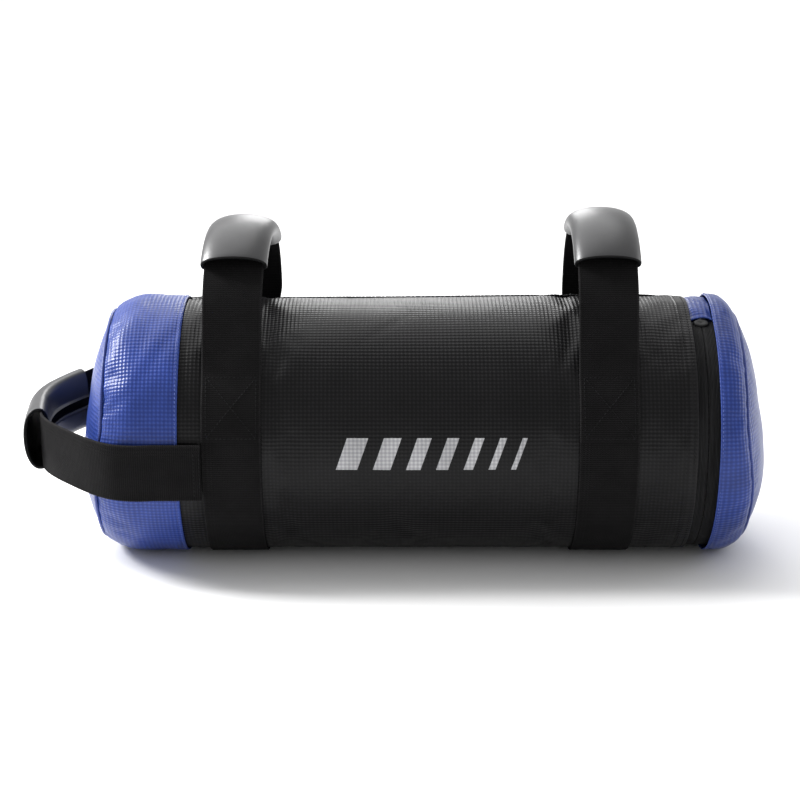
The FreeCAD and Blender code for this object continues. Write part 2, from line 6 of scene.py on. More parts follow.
import bpy
import numpy as np
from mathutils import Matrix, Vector


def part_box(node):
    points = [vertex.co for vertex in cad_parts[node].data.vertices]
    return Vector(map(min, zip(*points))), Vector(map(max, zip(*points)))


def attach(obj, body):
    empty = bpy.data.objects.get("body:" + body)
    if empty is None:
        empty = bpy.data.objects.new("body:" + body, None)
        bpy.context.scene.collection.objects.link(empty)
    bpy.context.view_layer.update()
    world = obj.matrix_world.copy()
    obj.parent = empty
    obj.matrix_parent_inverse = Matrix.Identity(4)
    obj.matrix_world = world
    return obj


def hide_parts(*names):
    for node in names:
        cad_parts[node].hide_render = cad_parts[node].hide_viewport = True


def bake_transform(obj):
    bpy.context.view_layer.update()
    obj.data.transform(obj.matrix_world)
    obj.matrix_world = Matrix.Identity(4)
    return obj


MM = 0.001
CLOTH_MAP = "ClothMap"
EDGE = "Edge"
TOP, TURN = math.pi / 2, 2 * math.pi

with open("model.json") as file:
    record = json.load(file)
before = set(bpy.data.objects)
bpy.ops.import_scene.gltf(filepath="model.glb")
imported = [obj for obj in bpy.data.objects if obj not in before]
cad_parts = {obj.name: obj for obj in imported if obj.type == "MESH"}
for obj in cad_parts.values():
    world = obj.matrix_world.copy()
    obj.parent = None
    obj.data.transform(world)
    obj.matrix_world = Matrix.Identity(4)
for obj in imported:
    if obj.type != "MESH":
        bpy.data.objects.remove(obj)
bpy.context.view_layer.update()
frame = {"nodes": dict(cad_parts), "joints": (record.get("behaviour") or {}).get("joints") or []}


# ---------------------------------------------------------------- where things are, from the CAD


def joint(name):
    return next(j for j in frame["joints"] if j["name"] == name)


shell_lo, shell_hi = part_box("barrel_shell")
BARREL_R = (shell_hi.y - shell_lo.y) / 2
AXIS_Z = shell_hi.z - BARREL_R
band_lo, band_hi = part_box("left_end_band")
BAND_R = (band_hi.y - band_lo.y) / 2
right_lo, right_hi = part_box("right_end_band")
left_disc_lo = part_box("left_end_disc")[0]
right_disc_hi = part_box("right_end_disc")[1]
SEAM_R = 95 * MM
LEFT_SHOULDER, RIGHT_SHOULDER = 27.5 * MM, 13.8 * MM
strap_lo, strap_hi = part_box("girth_strap_left")
WEB_WIDTH = strap_hi.x - strap_lo.x
WEB_THICK = 2.4 * MM
STRAP_X = {
    side: (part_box(f"girth_strap_{side}")[0].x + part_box(f"girth_strap_{side}")[1].x) / 2
    for side in ("left", "right")
}
STRAP_TOP = math.radians(37.5)
ANCHOR_R = (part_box("handle_left_anchors")[1].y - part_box("handle_left_anchors")[0].y) / 2 - 0.2 * MM
LOOP_R = 76.3 * MM
GRIP_CROWN, GRIP_UNDER, GRIP_SIDE = 14 * MM, 7 * MM, 3 * MM
GRIP_REACH = math.radians(39)
END_GRIP_SLIDE = math.radians(10)


def full_turn(count, extra=0):
    """Equal steps round the axis; one extra step repeats the first."""
    return np.arange(count + extra) * TURN / count


def ring_point(x, radius, angle):
    """The point at that angle from the front, turning over the top, about the bag's axis."""
    return (x, -radius * math.cos(angle), AXIS_Z + radius * math.sin(angle))


def ring_points(x, radius, angles):
    """The same for arrays."""
    return np.stack(np.broadcast_arrays(x, -radius * np.cos(angles), AXIS_Z + radius * np.sin(angles)), -1)


# ---------------------------------------------------------------- materials


def new_material(name):
    material = bpy.data.materials.new(name)
    material.use_nodes = True
    tree = material.node_tree
    return material, tree, tree.nodes["Principled BSDF"]


def grey(value):
    return (value, value, value)


def math_node(tree, operation, *values):
    node = tree.nodes.new("ShaderNodeMath")
    node.operation = operation
    for socket, value in zip(node.inputs, values):
        if isinstance(value, bpy.types.NodeSocket):
            tree.links.new(value, socket)
        else:
            socket.default_value = value
    return node.outputs[0]


def times(tree, first, second):
    return math_node(tree, "MULTIPLY", first, second)


def cloth_axes(tree):
    """The two distances along the cloth, in metres, from its own map."""
    chart = tree.nodes.new("ShaderNodeUVMap")
    chart.uv_map = CLOTH_MAP
    split = tree.nodes.new("ShaderNodeSeparateXYZ")
    tree.links.new(chart.outputs["UV"], split.inputs[0])
    return split.outputs["X"], split.outputs["Y"]


def waves(tree, distance, pitch):
    """0 to 1 and back, once in each pitch."""
    wave = math_node(tree, "COSINE", times(tree, distance, TURN / pitch))
    return math_node(tree, "MULTIPLY_ADD", wave, 0.5, 0.5)


def noise(tree, scale, detail=3.0, roughness=0.55, stretch=None):
    place = tree.nodes.new("ShaderNodeTexCoord")
    node = tree.nodes.new("ShaderNodeTexNoise")
    node.inputs["Scale"].default_value = scale
    node.inputs["Detail"].default_value = detail
    node.inputs["Roughness"].default_value = roughness
    source = place.outputs["Object"]
    if stretch:
        mapping = tree.nodes.new("ShaderNodeMapping")
        mapping.inputs["Scale"].default_value = stretch
        tree.links.new(source, mapping.inputs["Vector"])
        source = mapping.outputs["Vector"]
    tree.links.new(source, node.inputs["Vector"])
    return node.outputs["Fac"]


def ramp(tree, value, stops):
    node = tree.nodes.new("ShaderNodeValToRGB")
    elements = node.color_ramp.elements
    while len(elements) < len(stops):
        elements.new(0.5)
    for element, (position, colour) in zip(elements, stops):
        element.position = position
        element.color = (*colour, 1)
    tree.links.new(value, node.inputs["Fac"])
    return node.outputs["Color"]


def mixed(tree, factor, first, second, kind="MIX"):
    node = tree.nodes.new("ShaderNodeMix")
    node.data_type = "RGBA"
    node.blend_type = kind
    for socket, value in ((node.inputs[0], factor), (node.inputs[6], first), (node.inputs[7], second)):
        if isinstance(value, bpy.types.NodeSocket):
            tree.links.new(value, socket)
        elif isinstance(value, tuple):
            socket.default_value = (*value, 1)
        else:
            socket.default_value = value
    return node.outputs[2]


def tinted(tree, colour, tint):
    return mixed(tree, 1.0, colour, tint, "MULTIPLY")


def edge_wear(tree):
    attribute = tree.nodes.new("ShaderNodeAttribute")
    attribute.attribute_name = EDGE
    return attribute.outputs["Fac"]


def bump(tree, shader, height, distance, strength=1.0):
    node = tree.nodes.new("ShaderNodeBump")
    node.inputs["Distance"].default_value = distance
    node.inputs["Strength"].default_value = strength
    tree.links.new(height, node.inputs["Height"])
    if shader.inputs["Normal"].is_linked:
        tree.links.new(shader.inputs["Normal"].links[0].from_socket, node.inputs["Normal"])
    tree.links.new(node.outputs["Normal"], shader.inputs["Normal"])


def cells_node(tree, scale):
    """Small cells over the object: grains, or the pores of foam."""
    place = tree.nodes.new("ShaderNodeTexCoord")
    cells = tree.nodes.new("ShaderNodeTexVoronoi")
    cells.inputs["Scale"].default_value = scale
    tree.links.new(place.outputs["Object"], cells.inputs["Vector"])
    return cells


def dress(tree, shader, colour, source, roughness, **constants):
    """Colour, a roughness that follows source between two values, and the shader's constants."""
    tree.links.new(colour, shader.inputs["Base Color"])
    span = tree.nodes.new("ShaderNodeMapRange")
    span.inputs["To Min"].default_value, span.inputs["To Max"].default_value = roughness
    tree.links.new(source, span.inputs["Value"])
    tree.links.new(span.outputs["Result"], shader.inputs["Roughness"])
    sockets = {"specular": "Specular IOR Level", "coat": "Coat Weight", "coat_roughness": "Coat Roughness",
               "sheen": "Sheen Weight", "sheen_roughness": "Sheen Roughness", "metallic": "Metallic"}
    for name, value in constants.items():
        shader.inputs[sockets[name]].default_value = value


def coated_fabric(name, dark, base, light, specular, pitch=3.2 * MM, grid_bump=0.34 * MM):
    """Coated scrim cloth: a square grid of threads pressed through a semi-gloss skin."""
    material, tree, shader = new_material(name)
    u, v = cloth_axes(tree)
    threads = math_node(tree, "ADD", waves(tree, u, pitch), waves(tree, v, pitch))
    height = math_node(tree, "POWER", times(tree, threads, 0.5), 1.4)
    colour = ramp(tree, height, [(0.05, dark), (0.45, base), (0.95, light)])
    colour = tinted(tree, colour, ramp(tree, noise(tree, 26, 4), [(0.3, grey(0.80)), (0.7, grey(1.16))]))
    rubbed = tuple(min(1.0, 1.5 * c + 0.012) for c in light)
    worn = times(tree, edge_wear(tree), noise(tree, 210, 4))
    colour = mixed(tree, times(tree, worn, 0.8), colour, rubbed)
    dress(tree, shader, colour, noise(tree, 55, 5), (0.26, 0.40), specular=specular, coat=0.03,
          coat_roughness=0.3)
    bump(tree, shader, noise(tree, 900, 2), 0.03 * MM)
    bump(tree, shader, height, grid_bump)
    return material


def woven_strap(name, colour, light, rib=1.7 * MM, roughness=(0.62, 0.82)):
    """Ribbed polypropylene webbing: ribs across, lines of warp along, fuzz at the selvedge."""
    material, tree, shader = new_material(name)
    u, v = cloth_axes(tree)
    warp = waves(tree, u, 1.25 * MM)
    shifted = math_node(tree, "MULTIPLY_ADD", warp, rib * 0.35, v)
    ribs = waves(tree, shifted, rib)
    height = math_node(tree, "MULTIPLY_ADD", warp, 0.35, ribs)
    tone = ramp(tree, height, [(0.1, tuple(c * 0.55 for c in colour)), (0.75, colour), (1.0, light)])
    tone = tinted(tree, tone, ramp(tree, noise(tree, 34, 4), [(0.3, grey(0.82)), (0.7, grey(1.2))]))
    fuzz = times(tree, edge_wear(tree), noise(tree, 340, 3))
    tone = mixed(tree, times(tree, fuzz, 0.5), tone, tuple(2.2 * c for c in light))
    dress(tree, shader, tone, noise(tree, 80, 3), roughness, specular=0.05, sheen=0.01, sheen_roughness=0.4)
    bump(tree, shader, height, 0.22 * MM)
    return material


def zip_ribbon(name):
    """Zip tape: fine cords running along it."""
    material, tree, shader = new_material(name)
    u, v = cloth_axes(tree)
    cords = waves(tree, u, 1.15 * MM)
    picks = waves(tree, v, 0.9 * MM)
    height = math_node(tree, "MULTIPLY_ADD", picks, 0.25, cords)
    tone = ramp(tree, height, [(0.1, grey(0.003)), (0.6, grey(0.0065)), (1.0, (0.014, 0.014, 0.015))])
    streak = ramp(tree, noise(tree, 26, 5, 0.6, (26.0, 1.0, 1.0)), [(0.36, grey(0.5)), (0.66, grey(1.7))])
    tone = tinted(tree, tone, streak)
    dress(tree, shader, tone, noise(tree, 120, 3), (0.5, 0.72), specular=0.12, sheen=0.01)
    bump(tree, shader, height, 0.3 * MM)
    return material


def moulded(name, dark, light, specular, roughness, grain=0.05 * MM):
    """Satin moulded plastic with a fine grain and a few scuffs."""
    material, tree, shader = new_material(name)
    cloudy = ramp(tree, noise(tree, 38, 4), [(0.3, dark), (0.72, light)])
    scuffs = ramp(tree, noise(tree, 60, 6, 0.7, (1.0, 9.0, 1.0)), [(0.66, grey(1.0)), (0.74, grey(1.7))])
    dress(tree, shader, tinted(tree, cloudy, scuffs), noise(tree, 90, 5), roughness, specular=specular)
    bump(tree, shader, noise(tree, 1500, 2), grain)
    return material


def foam(name, dark, light):
    material, tree, shader = new_material(name)
    pores = cells_node(tree, 520).outputs["Distance"]
    tone = ramp(tree, pores, [(0.1, dark), (0.6, light)])
    cloudy = ramp(tree, noise(tree, 22, 4), [(0.3, grey(0.86)), (0.7, grey(1.08))])
    dress(tree, shader, tinted(tree, tone, cloudy), pores, (0.95, 0.8), specular=0.15)
    bump(tree, shader, pores, 0.5 * MM)
    return material


def grains(name):
    material, tree, shader = new_material(name)
    cells = cells_node(tree, 900)
    shade = tree.nodes.new("ShaderNodeSeparateColor")
    tree.links.new(cells.outputs["Color"], shade.inputs[0])
    tone = ramp(tree, shade.outputs[0], [(0.0, (0.30, 0.23, 0.15)), (0.5, (0.55, 0.45, 0.31)),
                                         (1.0, (0.78, 0.68, 0.52))])
    dress(tree, shader, tone, shade.outputs[1], (0.7, 0.95))
    bump(tree, shader, cells.outputs["Distance"], 0.7 * MM)
    return material


def plated_metal(name):
    """Blackened zinc with bright rubs."""
    material, tree, shader = new_material(name)
    rubs = ramp(tree, noise(tree, 260, 6, 0.7), [(0.48, (0.035, 0.035, 0.037)), (0.66, (0.30, 0.30, 0.31))])
    dress(tree, shader, rubs, noise(tree, 420, 4), (0.28, 0.5), metallic=0.9)
    bump(tree, shader, noise(tree, 700, 3), 0.04 * MM)
    return material


def thread(name, dark, light, specular=0.3):
    material, tree, shader = new_material(name)
    tone = ramp(tree, noise(tree, 500, 4), [(0.3, dark), (0.7, light)])
    dress(tree, shader, tone, noise(tree, 800, 2), (0.5, 0.75), specular=specular)
    bump(tree, shader, noise(tree, 1800, 2), 0.05 * MM)
    return material


BLACK_CLOTH = coated_fabric("black_coated_fabric", (0.0036, 0.0035, 0.0038), (0.0060, 0.0058, 0.0063),
                            (0.0125, 0.012, 0.013), 0.13)
BLUE_CLOTH = coated_fabric("blue_coated_fabric", (0.014, 0.031, 0.170), (0.019, 0.042, 0.212),
                           (0.034, 0.068, 0.290), 0.26)
WELT = coated_fabric("blue_piping", (0.022, 0.036, 0.165), (0.034, 0.056, 0.23), (0.058, 0.09, 0.31), 0.35,
                     pitch=1.6 * MM, grid_bump=0.08 * MM)
WEBBING = woven_strap("black_webbing", (0.0058, 0.0056, 0.0058), (0.0125, 0.0120, 0.0125))
SEAM_TAPE = woven_strap("seam_tape", (0.010, 0.010, 0.0105), (0.026, 0.026, 0.028), 2.6 * MM, (0.5, 0.7))
ZIP_TAPE = zip_ribbon("zip_tape")
ZIP_TEETH = moulded("zip_coil", (0.008, 0.008, 0.009), (0.018, 0.018, 0.019), 0.5, (0.3, 0.45),
                    0.01 * MM)
GRIP = moulded("grip_plastic", (0.017, 0.017, 0.0185), (0.028, 0.028, 0.030), 0.62, (0.32, 0.40))
# A darker, duller copy of the grip plastic for the sleeve's inner face and mouths: painted shade inside the
# sleeve.
GRIP_PAINTED_SHADE = moulded("grip_painted_shade", (0.003, 0.003, 0.0033), (0.007, 0.007, 0.0075), 0.15, (0.4, 0.55))
ZIP_END = moulded("zip_end_plastic", (0.004, 0.004, 0.0044), (0.009, 0.009, 0.0095), 0.15, (0.35, 0.5))
FOAM = foam("foam", (0.20, 0.20, 0.21), (0.46, 0.46, 0.47))
SACK = coated_fabric("sack_fabric", (0.15, 0.15, 0.155), (0.24, 0.24, 0.25), (0.34, 0.34, 0.35), 0.3,
                     pitch=1.1 * MM, grid_bump=0.1 * MM)
SAND = grains("sand")
METAL = plated_metal("slider_metal")
PRINT = coated_fabric("print_ink", (0.30, 0.30, 0.315), (0.40, 0.40, 0.415), (0.52, 0.52, 0.53), 0.3)
BLACK_THREAD = thread("black_thread", (0.004, 0.004, 0.0044), (0.012, 0.012, 0.013), 0.12)
BLUE_THREAD = thread("blue_thread", (0.05, 0.08, 0.28), (0.12, 0.17, 0.46))
CORD = thread("tie_cord", (0.30, 0.28, 0.24), (0.55, 0.52, 0.46))


# ---------------------------------------------------------------- meshes


def finish_mesh(name, points, faces, chart, material, wear=None):
    """A smooth mesh object with its cloth map (one pair per face corner) and worn-edge values."""
    mesh = bpy.data.meshes.new(name)
    mesh.from_pydata([tuple(p) for p in points], [], [tuple(int(i) for i in f) for f in faces])
    if chart is not None:
        layer = mesh.uv_layers.new(name=CLOTH_MAP)
        layer.data.foreach_set("uv", np.asarray(chart, np.float32).ravel())
    values = mesh.attributes.new(EDGE, "FLOAT", "POINT")
    if wear is not None:
        values.data.foreach_set("value", np.asarray(wear, np.float32).ravel())
    mesh.polygons.foreach_set("use_smooth", [True] * len(mesh.polygons))
    mesh.materials.append(material)
    mesh.update()
    made = bpy.data.objects.new(name, mesh)
    bpy.context.scene.collection.objects.link(made)
    return made


def path_lengths(path):
    """How far along its path each point is."""
    return np.concatenate([[0], np.cumsum(np.linalg.norm(np.diff(path, axis=0), axis=1))])


def section_lengths(section):
    """How far along a section each of its (x, radius) pairs is."""
    return np.concatenate([[0], np.cumsum([math.dist(a, b) for a, b in zip(section, section[1:])])])


def chart_of(first, second):
    """A cloth map from distances that run across the rows and along them."""
    return np.stack(np.broadcast_arrays(first, second), 2)


def ridge(distance, width):
    """1 at the middle of a rounded ridge, falling away over its width."""
    return np.exp(-(np.asarray(distance) / width) ** 2)


def weld(piece):
    """Joins the points that lie on each other where a surface closes on itself."""
    piece.modifiers.new("Weld", "WELD").merge_threshold = 0.001 * MM
    return piece


def quads(rows, cols, wrap):
    """Corner indices of a grid's faces, and the rows and columns that they sit at."""
    i, j = np.meshgrid(np.arange(rows - 1), np.arange(cols if wrap else cols - 1), indexing="ij")
    i, j = i.ravel(), j.ravel()
    k = (j + 1) % cols
    faces = np.stack([i * cols + j, (i + 1) * cols + j, (i + 1) * cols + k, i * cols + k], 1)
    at = np.stack([np.stack([i, j], 1), np.stack([i + 1, j], 1),
                   np.stack([i + 1, j + 1], 1), np.stack([i, j + 1], 1)], 1)
    return faces, at


def grid_mesh(name, points, chart, material, wrap=False, wear=None, caps=()):
    """A mesh from a grid of points; chart is (rows, cols + 1 where it wraps, 2).

    caps names the ends that a flat face closes: "first", "last" or both."""
    rows, cols = points.shape[:2]
    faces, at = quads(rows, cols, wrap)
    corners = chart[at[..., 0], at[..., 1]].reshape(-1, 2)
    faces = [list(f) for f in faces]
    if "first" in caps:
        faces.append(list(range(cols)))
        corners = np.concatenate([corners, chart[0, :cols]])
    if "last" in caps:
        faces.append(list(range((rows - 1) * cols, rows * cols))[::-1])
        corners = np.concatenate([corners, chart[-1, :cols][::-1]])
    return finish_mesh(name, points.reshape(-1, 3), faces, corners, material, wear)


def normals_of(points, wrap=True):
    """Outward unit normals of a grid whose rows run along +X and columns turn over the top."""
    along = np.gradient(points, axis=0)
    if wrap:
        across = np.roll(points, -1, axis=1) - np.roll(points, 1, axis=1)
    else:
        across = np.gradient(points, axis=1)
    normal = np.cross(along, across)
    return normal / np.maximum(np.linalg.norm(normal, axis=2, keepdims=True), 1e-12)


def smooth_step(value, low, high):
    t = np.clip((value - low) / (high - low), 0, 1)
    return t * t * (3 - 2 * t)


def thicken(piece, thickness):
    solid = piece.modifiers.new("Thickness", "SOLIDIFY")
    solid.thickness = thickness
    solid.offset = -1
    solid.use_even_offset = False
    solid.use_quality_normals = True


# ---------------------------------------------------------------- the bag's skins, filled out as cloth

SKIN_COLS = 132
PANEL_COLS = 264


def skin_grid(profile, floor):
    """Rings of points about the axis for (x, radius) pairs, flat where they would pass the floor."""
    section = np.array(profile)
    points = ring_points(section[:, :1], section[:, 1:], full_turn(SKIN_COLS))
    points[..., 2] = np.maximum(points[..., 2], floor)
    return points


def filled_out(name, rest, hold, cap, spare, floor):
    """The rest grid after Blender's cloth has filled it out under pressure.

    hold is 1 where seams, straps or the floor hold the cloth, spare is its share of extra cloth,
    and cap is the furthest that a point may move.
    """
    rows, cols = rest.shape[:2]
    faces, _ = quads(rows, cols, True)
    faces = [list(int(i) for i in f) for f in faces]
    first, last = rows * cols, rows * cols + 1
    points = np.concatenate([rest.reshape(-1, 3), [rest[0].mean(0)], [rest[-1].mean(0)]])
    for j in range(cols):
        k = (j + 1) % cols
        faces.append([first, j, k])
        faces.append([last, (rows - 1) * cols + k, (rows - 1) * cols + j])
    mesh = bpy.data.meshes.new(name)
    mesh.from_pydata([tuple(p) for p in points], [], faces)
    skin = bpy.data.objects.new(name, mesh)
    bpy.context.scene.collection.objects.link(skin)
    group = skin.vertex_groups.new(name="held")
    for index, weight in enumerate(np.append(hold.ravel(), [hold[0].mean(), 1.0])):
        group.add([index], float(weight), "REPLACE")
    cloth = skin.modifiers.new("Cloth", "CLOTH")
    settings = cloth.settings
    settings.quality = 6
    settings.mass = 0.25
    settings.tension_stiffness = 30
    settings.compression_stiffness = 30
    settings.shear_stiffness = 12
    settings.bending_stiffness = 0.8
    settings.shrink_min = -spare
    settings.use_pressure = True
    settings.uniform_pressure_force = 4
    settings.effector_weights.gravity = 0
    settings.vertex_group_mass = group.name
    cloth.collision_settings.use_collision = False
    scene = bpy.context.scene
    for step in range(1, 21):
        scene.frame_set(step)
    settled = skin.evaluated_get(bpy.context.evaluated_depsgraph_get())
    moved = np.zeros(len(points) * 3, np.float32)
    settled.data.vertices.foreach_get("co", moved)
    moved = moved.reshape(-1, 3)[:rows * cols].reshape(rows, cols, 3) - rest
    bpy.data.objects.remove(skin)
    bpy.data.meshes.remove(mesh)
    scene.frame_set(1)
    size = np.maximum(np.linalg.norm(moved, axis=2, keepdims=True), 1e-9)
    moved *= cap * np.tanh(size / cap) / size * (1 - hold[..., None])
    out = rest + moved
    out[..., 2] = np.maximum(out[..., 2], floor)
    return out


def spline_weights(t):
    return np.stack([(1 - t) ** 3, 3 * t**3 - 6 * t**2 + 4, -3 * t**3 + 3 * t**2 + 3 * t + 1, t**3], -1) / 6


class Skin:
    """A ring-by-ring surface that can be read smoothly between its points."""

    def __init__(self, profile, points):
        self.points = points
        self.lengths = section_lengths(profile)
        self.x = np.array([p[0] for p in profile])

    def at_length(self, lengths, angles):
        """Points for every length along the profile and every angle."""
        rows = np.interp(lengths, self.lengths, np.arange(len(self.lengths)))
        count, cols = self.points.shape[:2]
        base = np.clip(np.floor(rows).astype(int), 0, count - 2)
        row_weights = spline_weights(rows - base)
        turns = np.asarray(angles) / TURN * cols
        left = np.floor(turns).astype(int)
        col_weights = spline_weights(turns - left)
        first, last = 2 * self.points[0] - self.points[1], 2 * self.points[-1] - self.points[-2]
        padded = np.concatenate([first[None], self.points, last[None]])
        out = 0
        for a in range(4):
            row = padded[np.clip(base + a, 0, count + 1)]
            for b in range(4):
                weight = row_weights[:, a][:, None] * col_weights[:, b][None, :]
                out = out + weight[..., None] * row[:, (left + b - 1) % cols]
        return out

    def length_at_x(self, x):
        return np.interp(x, self.x, self.lengths)


def run_between(low, high, step):
    return list(np.linspace(low, high, max(2, int(round((high - low) / step)) + 1)))


def arc_profile(centre_x, centre_r, radius, start, end, step):
    """Points (x, r) on an arc; angles in radians from +X towards +r."""
    count = max(3, int(abs(end - start) * radius / step) + 1)
    return [(centre_x + radius * math.cos(t), centre_r + radius * math.sin(t))
            for t in np.linspace(start, end, count)]


def dome_profile(seam_x, apex_x, step=5 * MM):
    """From the crest to the seam."""
    rise = abs(seam_x - apex_x)
    radius = (rise**2 + SEAM_R**2) / (2 * rise)
    half = math.asin(SEAM_R / radius)
    side = 1 if apex_x > seam_x else -1
    centre = apex_x - side * radius
    count = int(half * radius / step) + 1
    return [(centre + side * radius * math.cos(t), radius * math.sin(t))
            for t in np.linspace(1.5 * MM / radius, half, count)]


def shoulder_profile(seam_x, flat_x):
    """From the seam to where the band runs straight."""
    across, drop = abs(flat_x - seam_x), BAND_R - SEAM_R
    radius = (across**2 + drop**2) / (2 * drop)
    side = 1 if seam_x > flat_x else -1
    start = math.acos(min(1.0, across / radius))
    arc = arc_profile(0, BAND_R - radius, radius, start, math.pi / 2, 4 * MM)
    return [(flat_x + side * x, r) for x, r in arc]


left_dome = dome_profile(band_lo.x, left_disc_lo.x)
left_band = shoulder_profile(band_lo.x, band_lo.x + LEFT_SHOULDER)
left_band += [(x, BAND_R) for x in run_between(left_band[-1][0], band_hi.x, 5 * MM)[1:]]
right_dome = dome_profile(right_hi.x, right_disc_hi.x)[::-1]
right_band = shoulder_profile(right_hi.x, right_hi.x - RIGHT_SHOULDER)[::-1]
right_band = [(x, BAND_R) for x in run_between(right_lo.x, right_band[0][0], 3 * MM)[:-1]] + right_band
barrel = [(x, BARREL_R) for x in run_between(shell_lo.x, shell_hi.x, 5 * MM)]


def lying(points, floor):
    """1 where the cloth lies on the floor, falling to 0 a few millimetres above it."""
    return 1 - smooth_step(points[..., 2], floor + 0.5 * MM, floor + 6 * MM)


def near(value, places, full, none):
    """1 within full of any of the places, falling to 0 at none."""
    distance = np.min([np.abs(value - p) for p in places], axis=0)
    return 1 - smooth_step(distance, full, none)


def settled(points):
    """Where the bag's weight takes its cloth: the ends bulge low down, and the top stands proud."""
    out = np.array(points, float)
    x, z = out[..., 0].copy(), out[..., 2].copy()
    low = 1 - smooth_step(z, AXIS_Z - 45 * MM, AXIS_Z + 35 * MM)
    out_right = smooth_step(x, right_lo.x + 2 * MM, right_hi.x)
    out_left = 1 - smooth_step(x, band_lo.x, band_lo.x + 36 * MM)
    out[..., 0] += 7.5 * MM * low * (out_right - out_left)
    foot = AXIS_Z + BARREL_R * (0.64 + 0.29 * smooth_step(x, 200 * MM, 240 * MM))
    rise = (1.0 * MM + 1.8 * MM * smooth_step(x, -60 * MM, 200 * MM)
            + 1.6 * MM * (1 - smooth_step(x, -210 * MM, -160 * MM)))
    out[..., 2] += rise * smooth_step(z, foot, AXIS_Z + BARREL_R)
    return out


def cup_skin(name, profile, seam_x, hem_x, floor):
    rest = skin_grid(profile, floor)
    x = rest[..., 0]
    hold = np.maximum(near(x, [seam_x, hem_x], 0.4 * MM, 3 * MM), lying(rest, floor))
    return Skin(profile, settled(filled_out(name, rest, hold, 3.2 * MM, 0.012, floor)))


left_skin = cup_skin("left_cloth", left_dome + left_band[1:], band_lo.x, band_hi.x, band_lo.z)
right_skin = cup_skin("right_cloth", right_band + right_dome[1:], right_hi.x, right_lo.x, right_lo.z)


def barrel_skin():
    rest = skin_grid(barrel, shell_lo.z)
    x = rest[..., 0]
    under_strap = near(x, STRAP_X.values(), WEB_WIDTH / 2 - 1 * MM, WEB_WIDTH / 2 + 5 * MM)
    height = np.sin(full_turn(SKIN_COLS))[None, :]
    strapped = under_strap * (1 - smooth_step(height, math.sin(STRAP_TOP), math.sin(STRAP_TOP) + 0.25))
    ends = np.maximum(1 - smooth_step(x, shell_lo.x + 8 * MM, shell_lo.x + 16 * MM),
                      smooth_step(x, shell_hi.x - 8 * MM, shell_hi.x - 1 * MM))
    hold = np.maximum.reduce([strapped, ends, lying(rest, shell_lo.z)])
    return Skin(barrel, settled(filled_out("barrel_cloth", rest, hold, 2.2 * MM, 0.006, shell_lo.z)))


main_skin = barrel_skin()


def panel(name, skin, lengths, material, body, node, offset, wear, wrinkle, thickness=1.3 * MM, planar=False):
    """A panel of cloth on a skin between two lengths, lifted by offset and wrinkle, with its cloth map.

    A planar panel is an end cover: its map is flat, and it closes at the middle of the end."""
    turns = full_turn(PANEL_COLS)
    base = skin.at_length(lengths, turns)
    lift = np.repeat(offset[:, None], PANEL_COLS, axis=1) + wrinkle(base, lengths, turns)
    points = base + normals_of(base) * lift[..., None]
    closed = np.concatenate([points, points[:, :1]], axis=1)
    if planar:
        chart = np.stack([closed[..., 1], closed[..., 2] - AXIS_Z], 2)
    else:
        chart = chart_of(lengths[:, None], (full_turn(PANEL_COLS, 1) * BARREL_R)[None, :])
    worn = np.repeat(wear[:, None], PANEL_COLS, axis=1)
    pole = "first" if skin is left_skin else "last"
    piece = grid_mesh(name, points, chart, material, wrap=True, wear=worn, caps=(pole,) if planar else ())
    thicken(piece, thickness)
    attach(piece, body)
    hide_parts(node)
    return piece


def edge_lengths(low, high, step, fine_low=0.0, fine_high=0.0, fine=0.5 * MM):
    """Lengths from low to high, closer together over the hems at each end."""
    out = run_between(low, low + fine_low, fine)[:-1] if fine_low else []
    out += run_between(low + fine_low, high - fine_high, step)
    out += run_between(high - fine_high, high, fine)[1:] if fine_high else []
    return np.array(out)


def hem(distance, width, rise):
    """How far a turned hem stands up, by distance from the panel's edge: a fold, then a stitch line."""
    fold = smooth_step(distance, -0.6 * MM, 0.9 * MM) * (1 - smooth_step(distance, width, width + 1.2 * MM))
    return rise * fold - 0.35 * rise * ridge(distance - width + 0.7 * MM, 0.5 * MM)


def creases(count, depth, low, high, seed, slant=0.5, length=(0.10, 0.22)):
    """Soft diagonal folds that fade at both ends; low and high bound the lengths they cross."""
    rng = np.random.default_rng(seed)
    folds = [(rng.uniform(0, TURN), rng.uniform(low, high),
              rng.choice([-1, 1]) * slant * rng.uniform(0.6, 1.5), rng.uniform(*length),
              rng.uniform(5.0, 9.0) * MM, depth * rng.uniform(0.5, 1.0))
             for _ in range(count)]

    def lift(base, lengths, turns):
        out = np.zeros((len(lengths), len(turns)))
        s = lengths[:, None]
        for angle, centre, tilt, reach, width, deep in folds:
            around = (turns[None, :] - angle + math.pi) % TURN - math.pi
            across = (s - centre) - tilt * around * BARREL_R
            along = around * BARREL_R + tilt * (s - centre)
            out -= deep * ridge(across, width) * ridge(along, reach / 3)
        return out

    return lift


def seam_puckers(seam, depth, count, seed):
    """Small gathers that run away from a seam and die out."""
    rng = np.random.default_rng(seed)
    phase = rng.uniform(0, TURN, 4)
    beats = [count, int(count * 0.62), int(count * 1.37), 7]

    def lift(base, lengths, turns):
        near_seam = ridge(lengths - seam, 9 * MM) * (1 - ridge(lengths - seam, 1.5 * MM))
        ripple = sum(np.cos(turns * b + p) for b, p in zip(beats, phase)) / 3
        return depth * near_seam[:, None] * ripple[None, :]

    return lift


def together(*lifts):
    return lambda base, lengths, turns: sum(one(base, lengths, turns) for one in lifts)


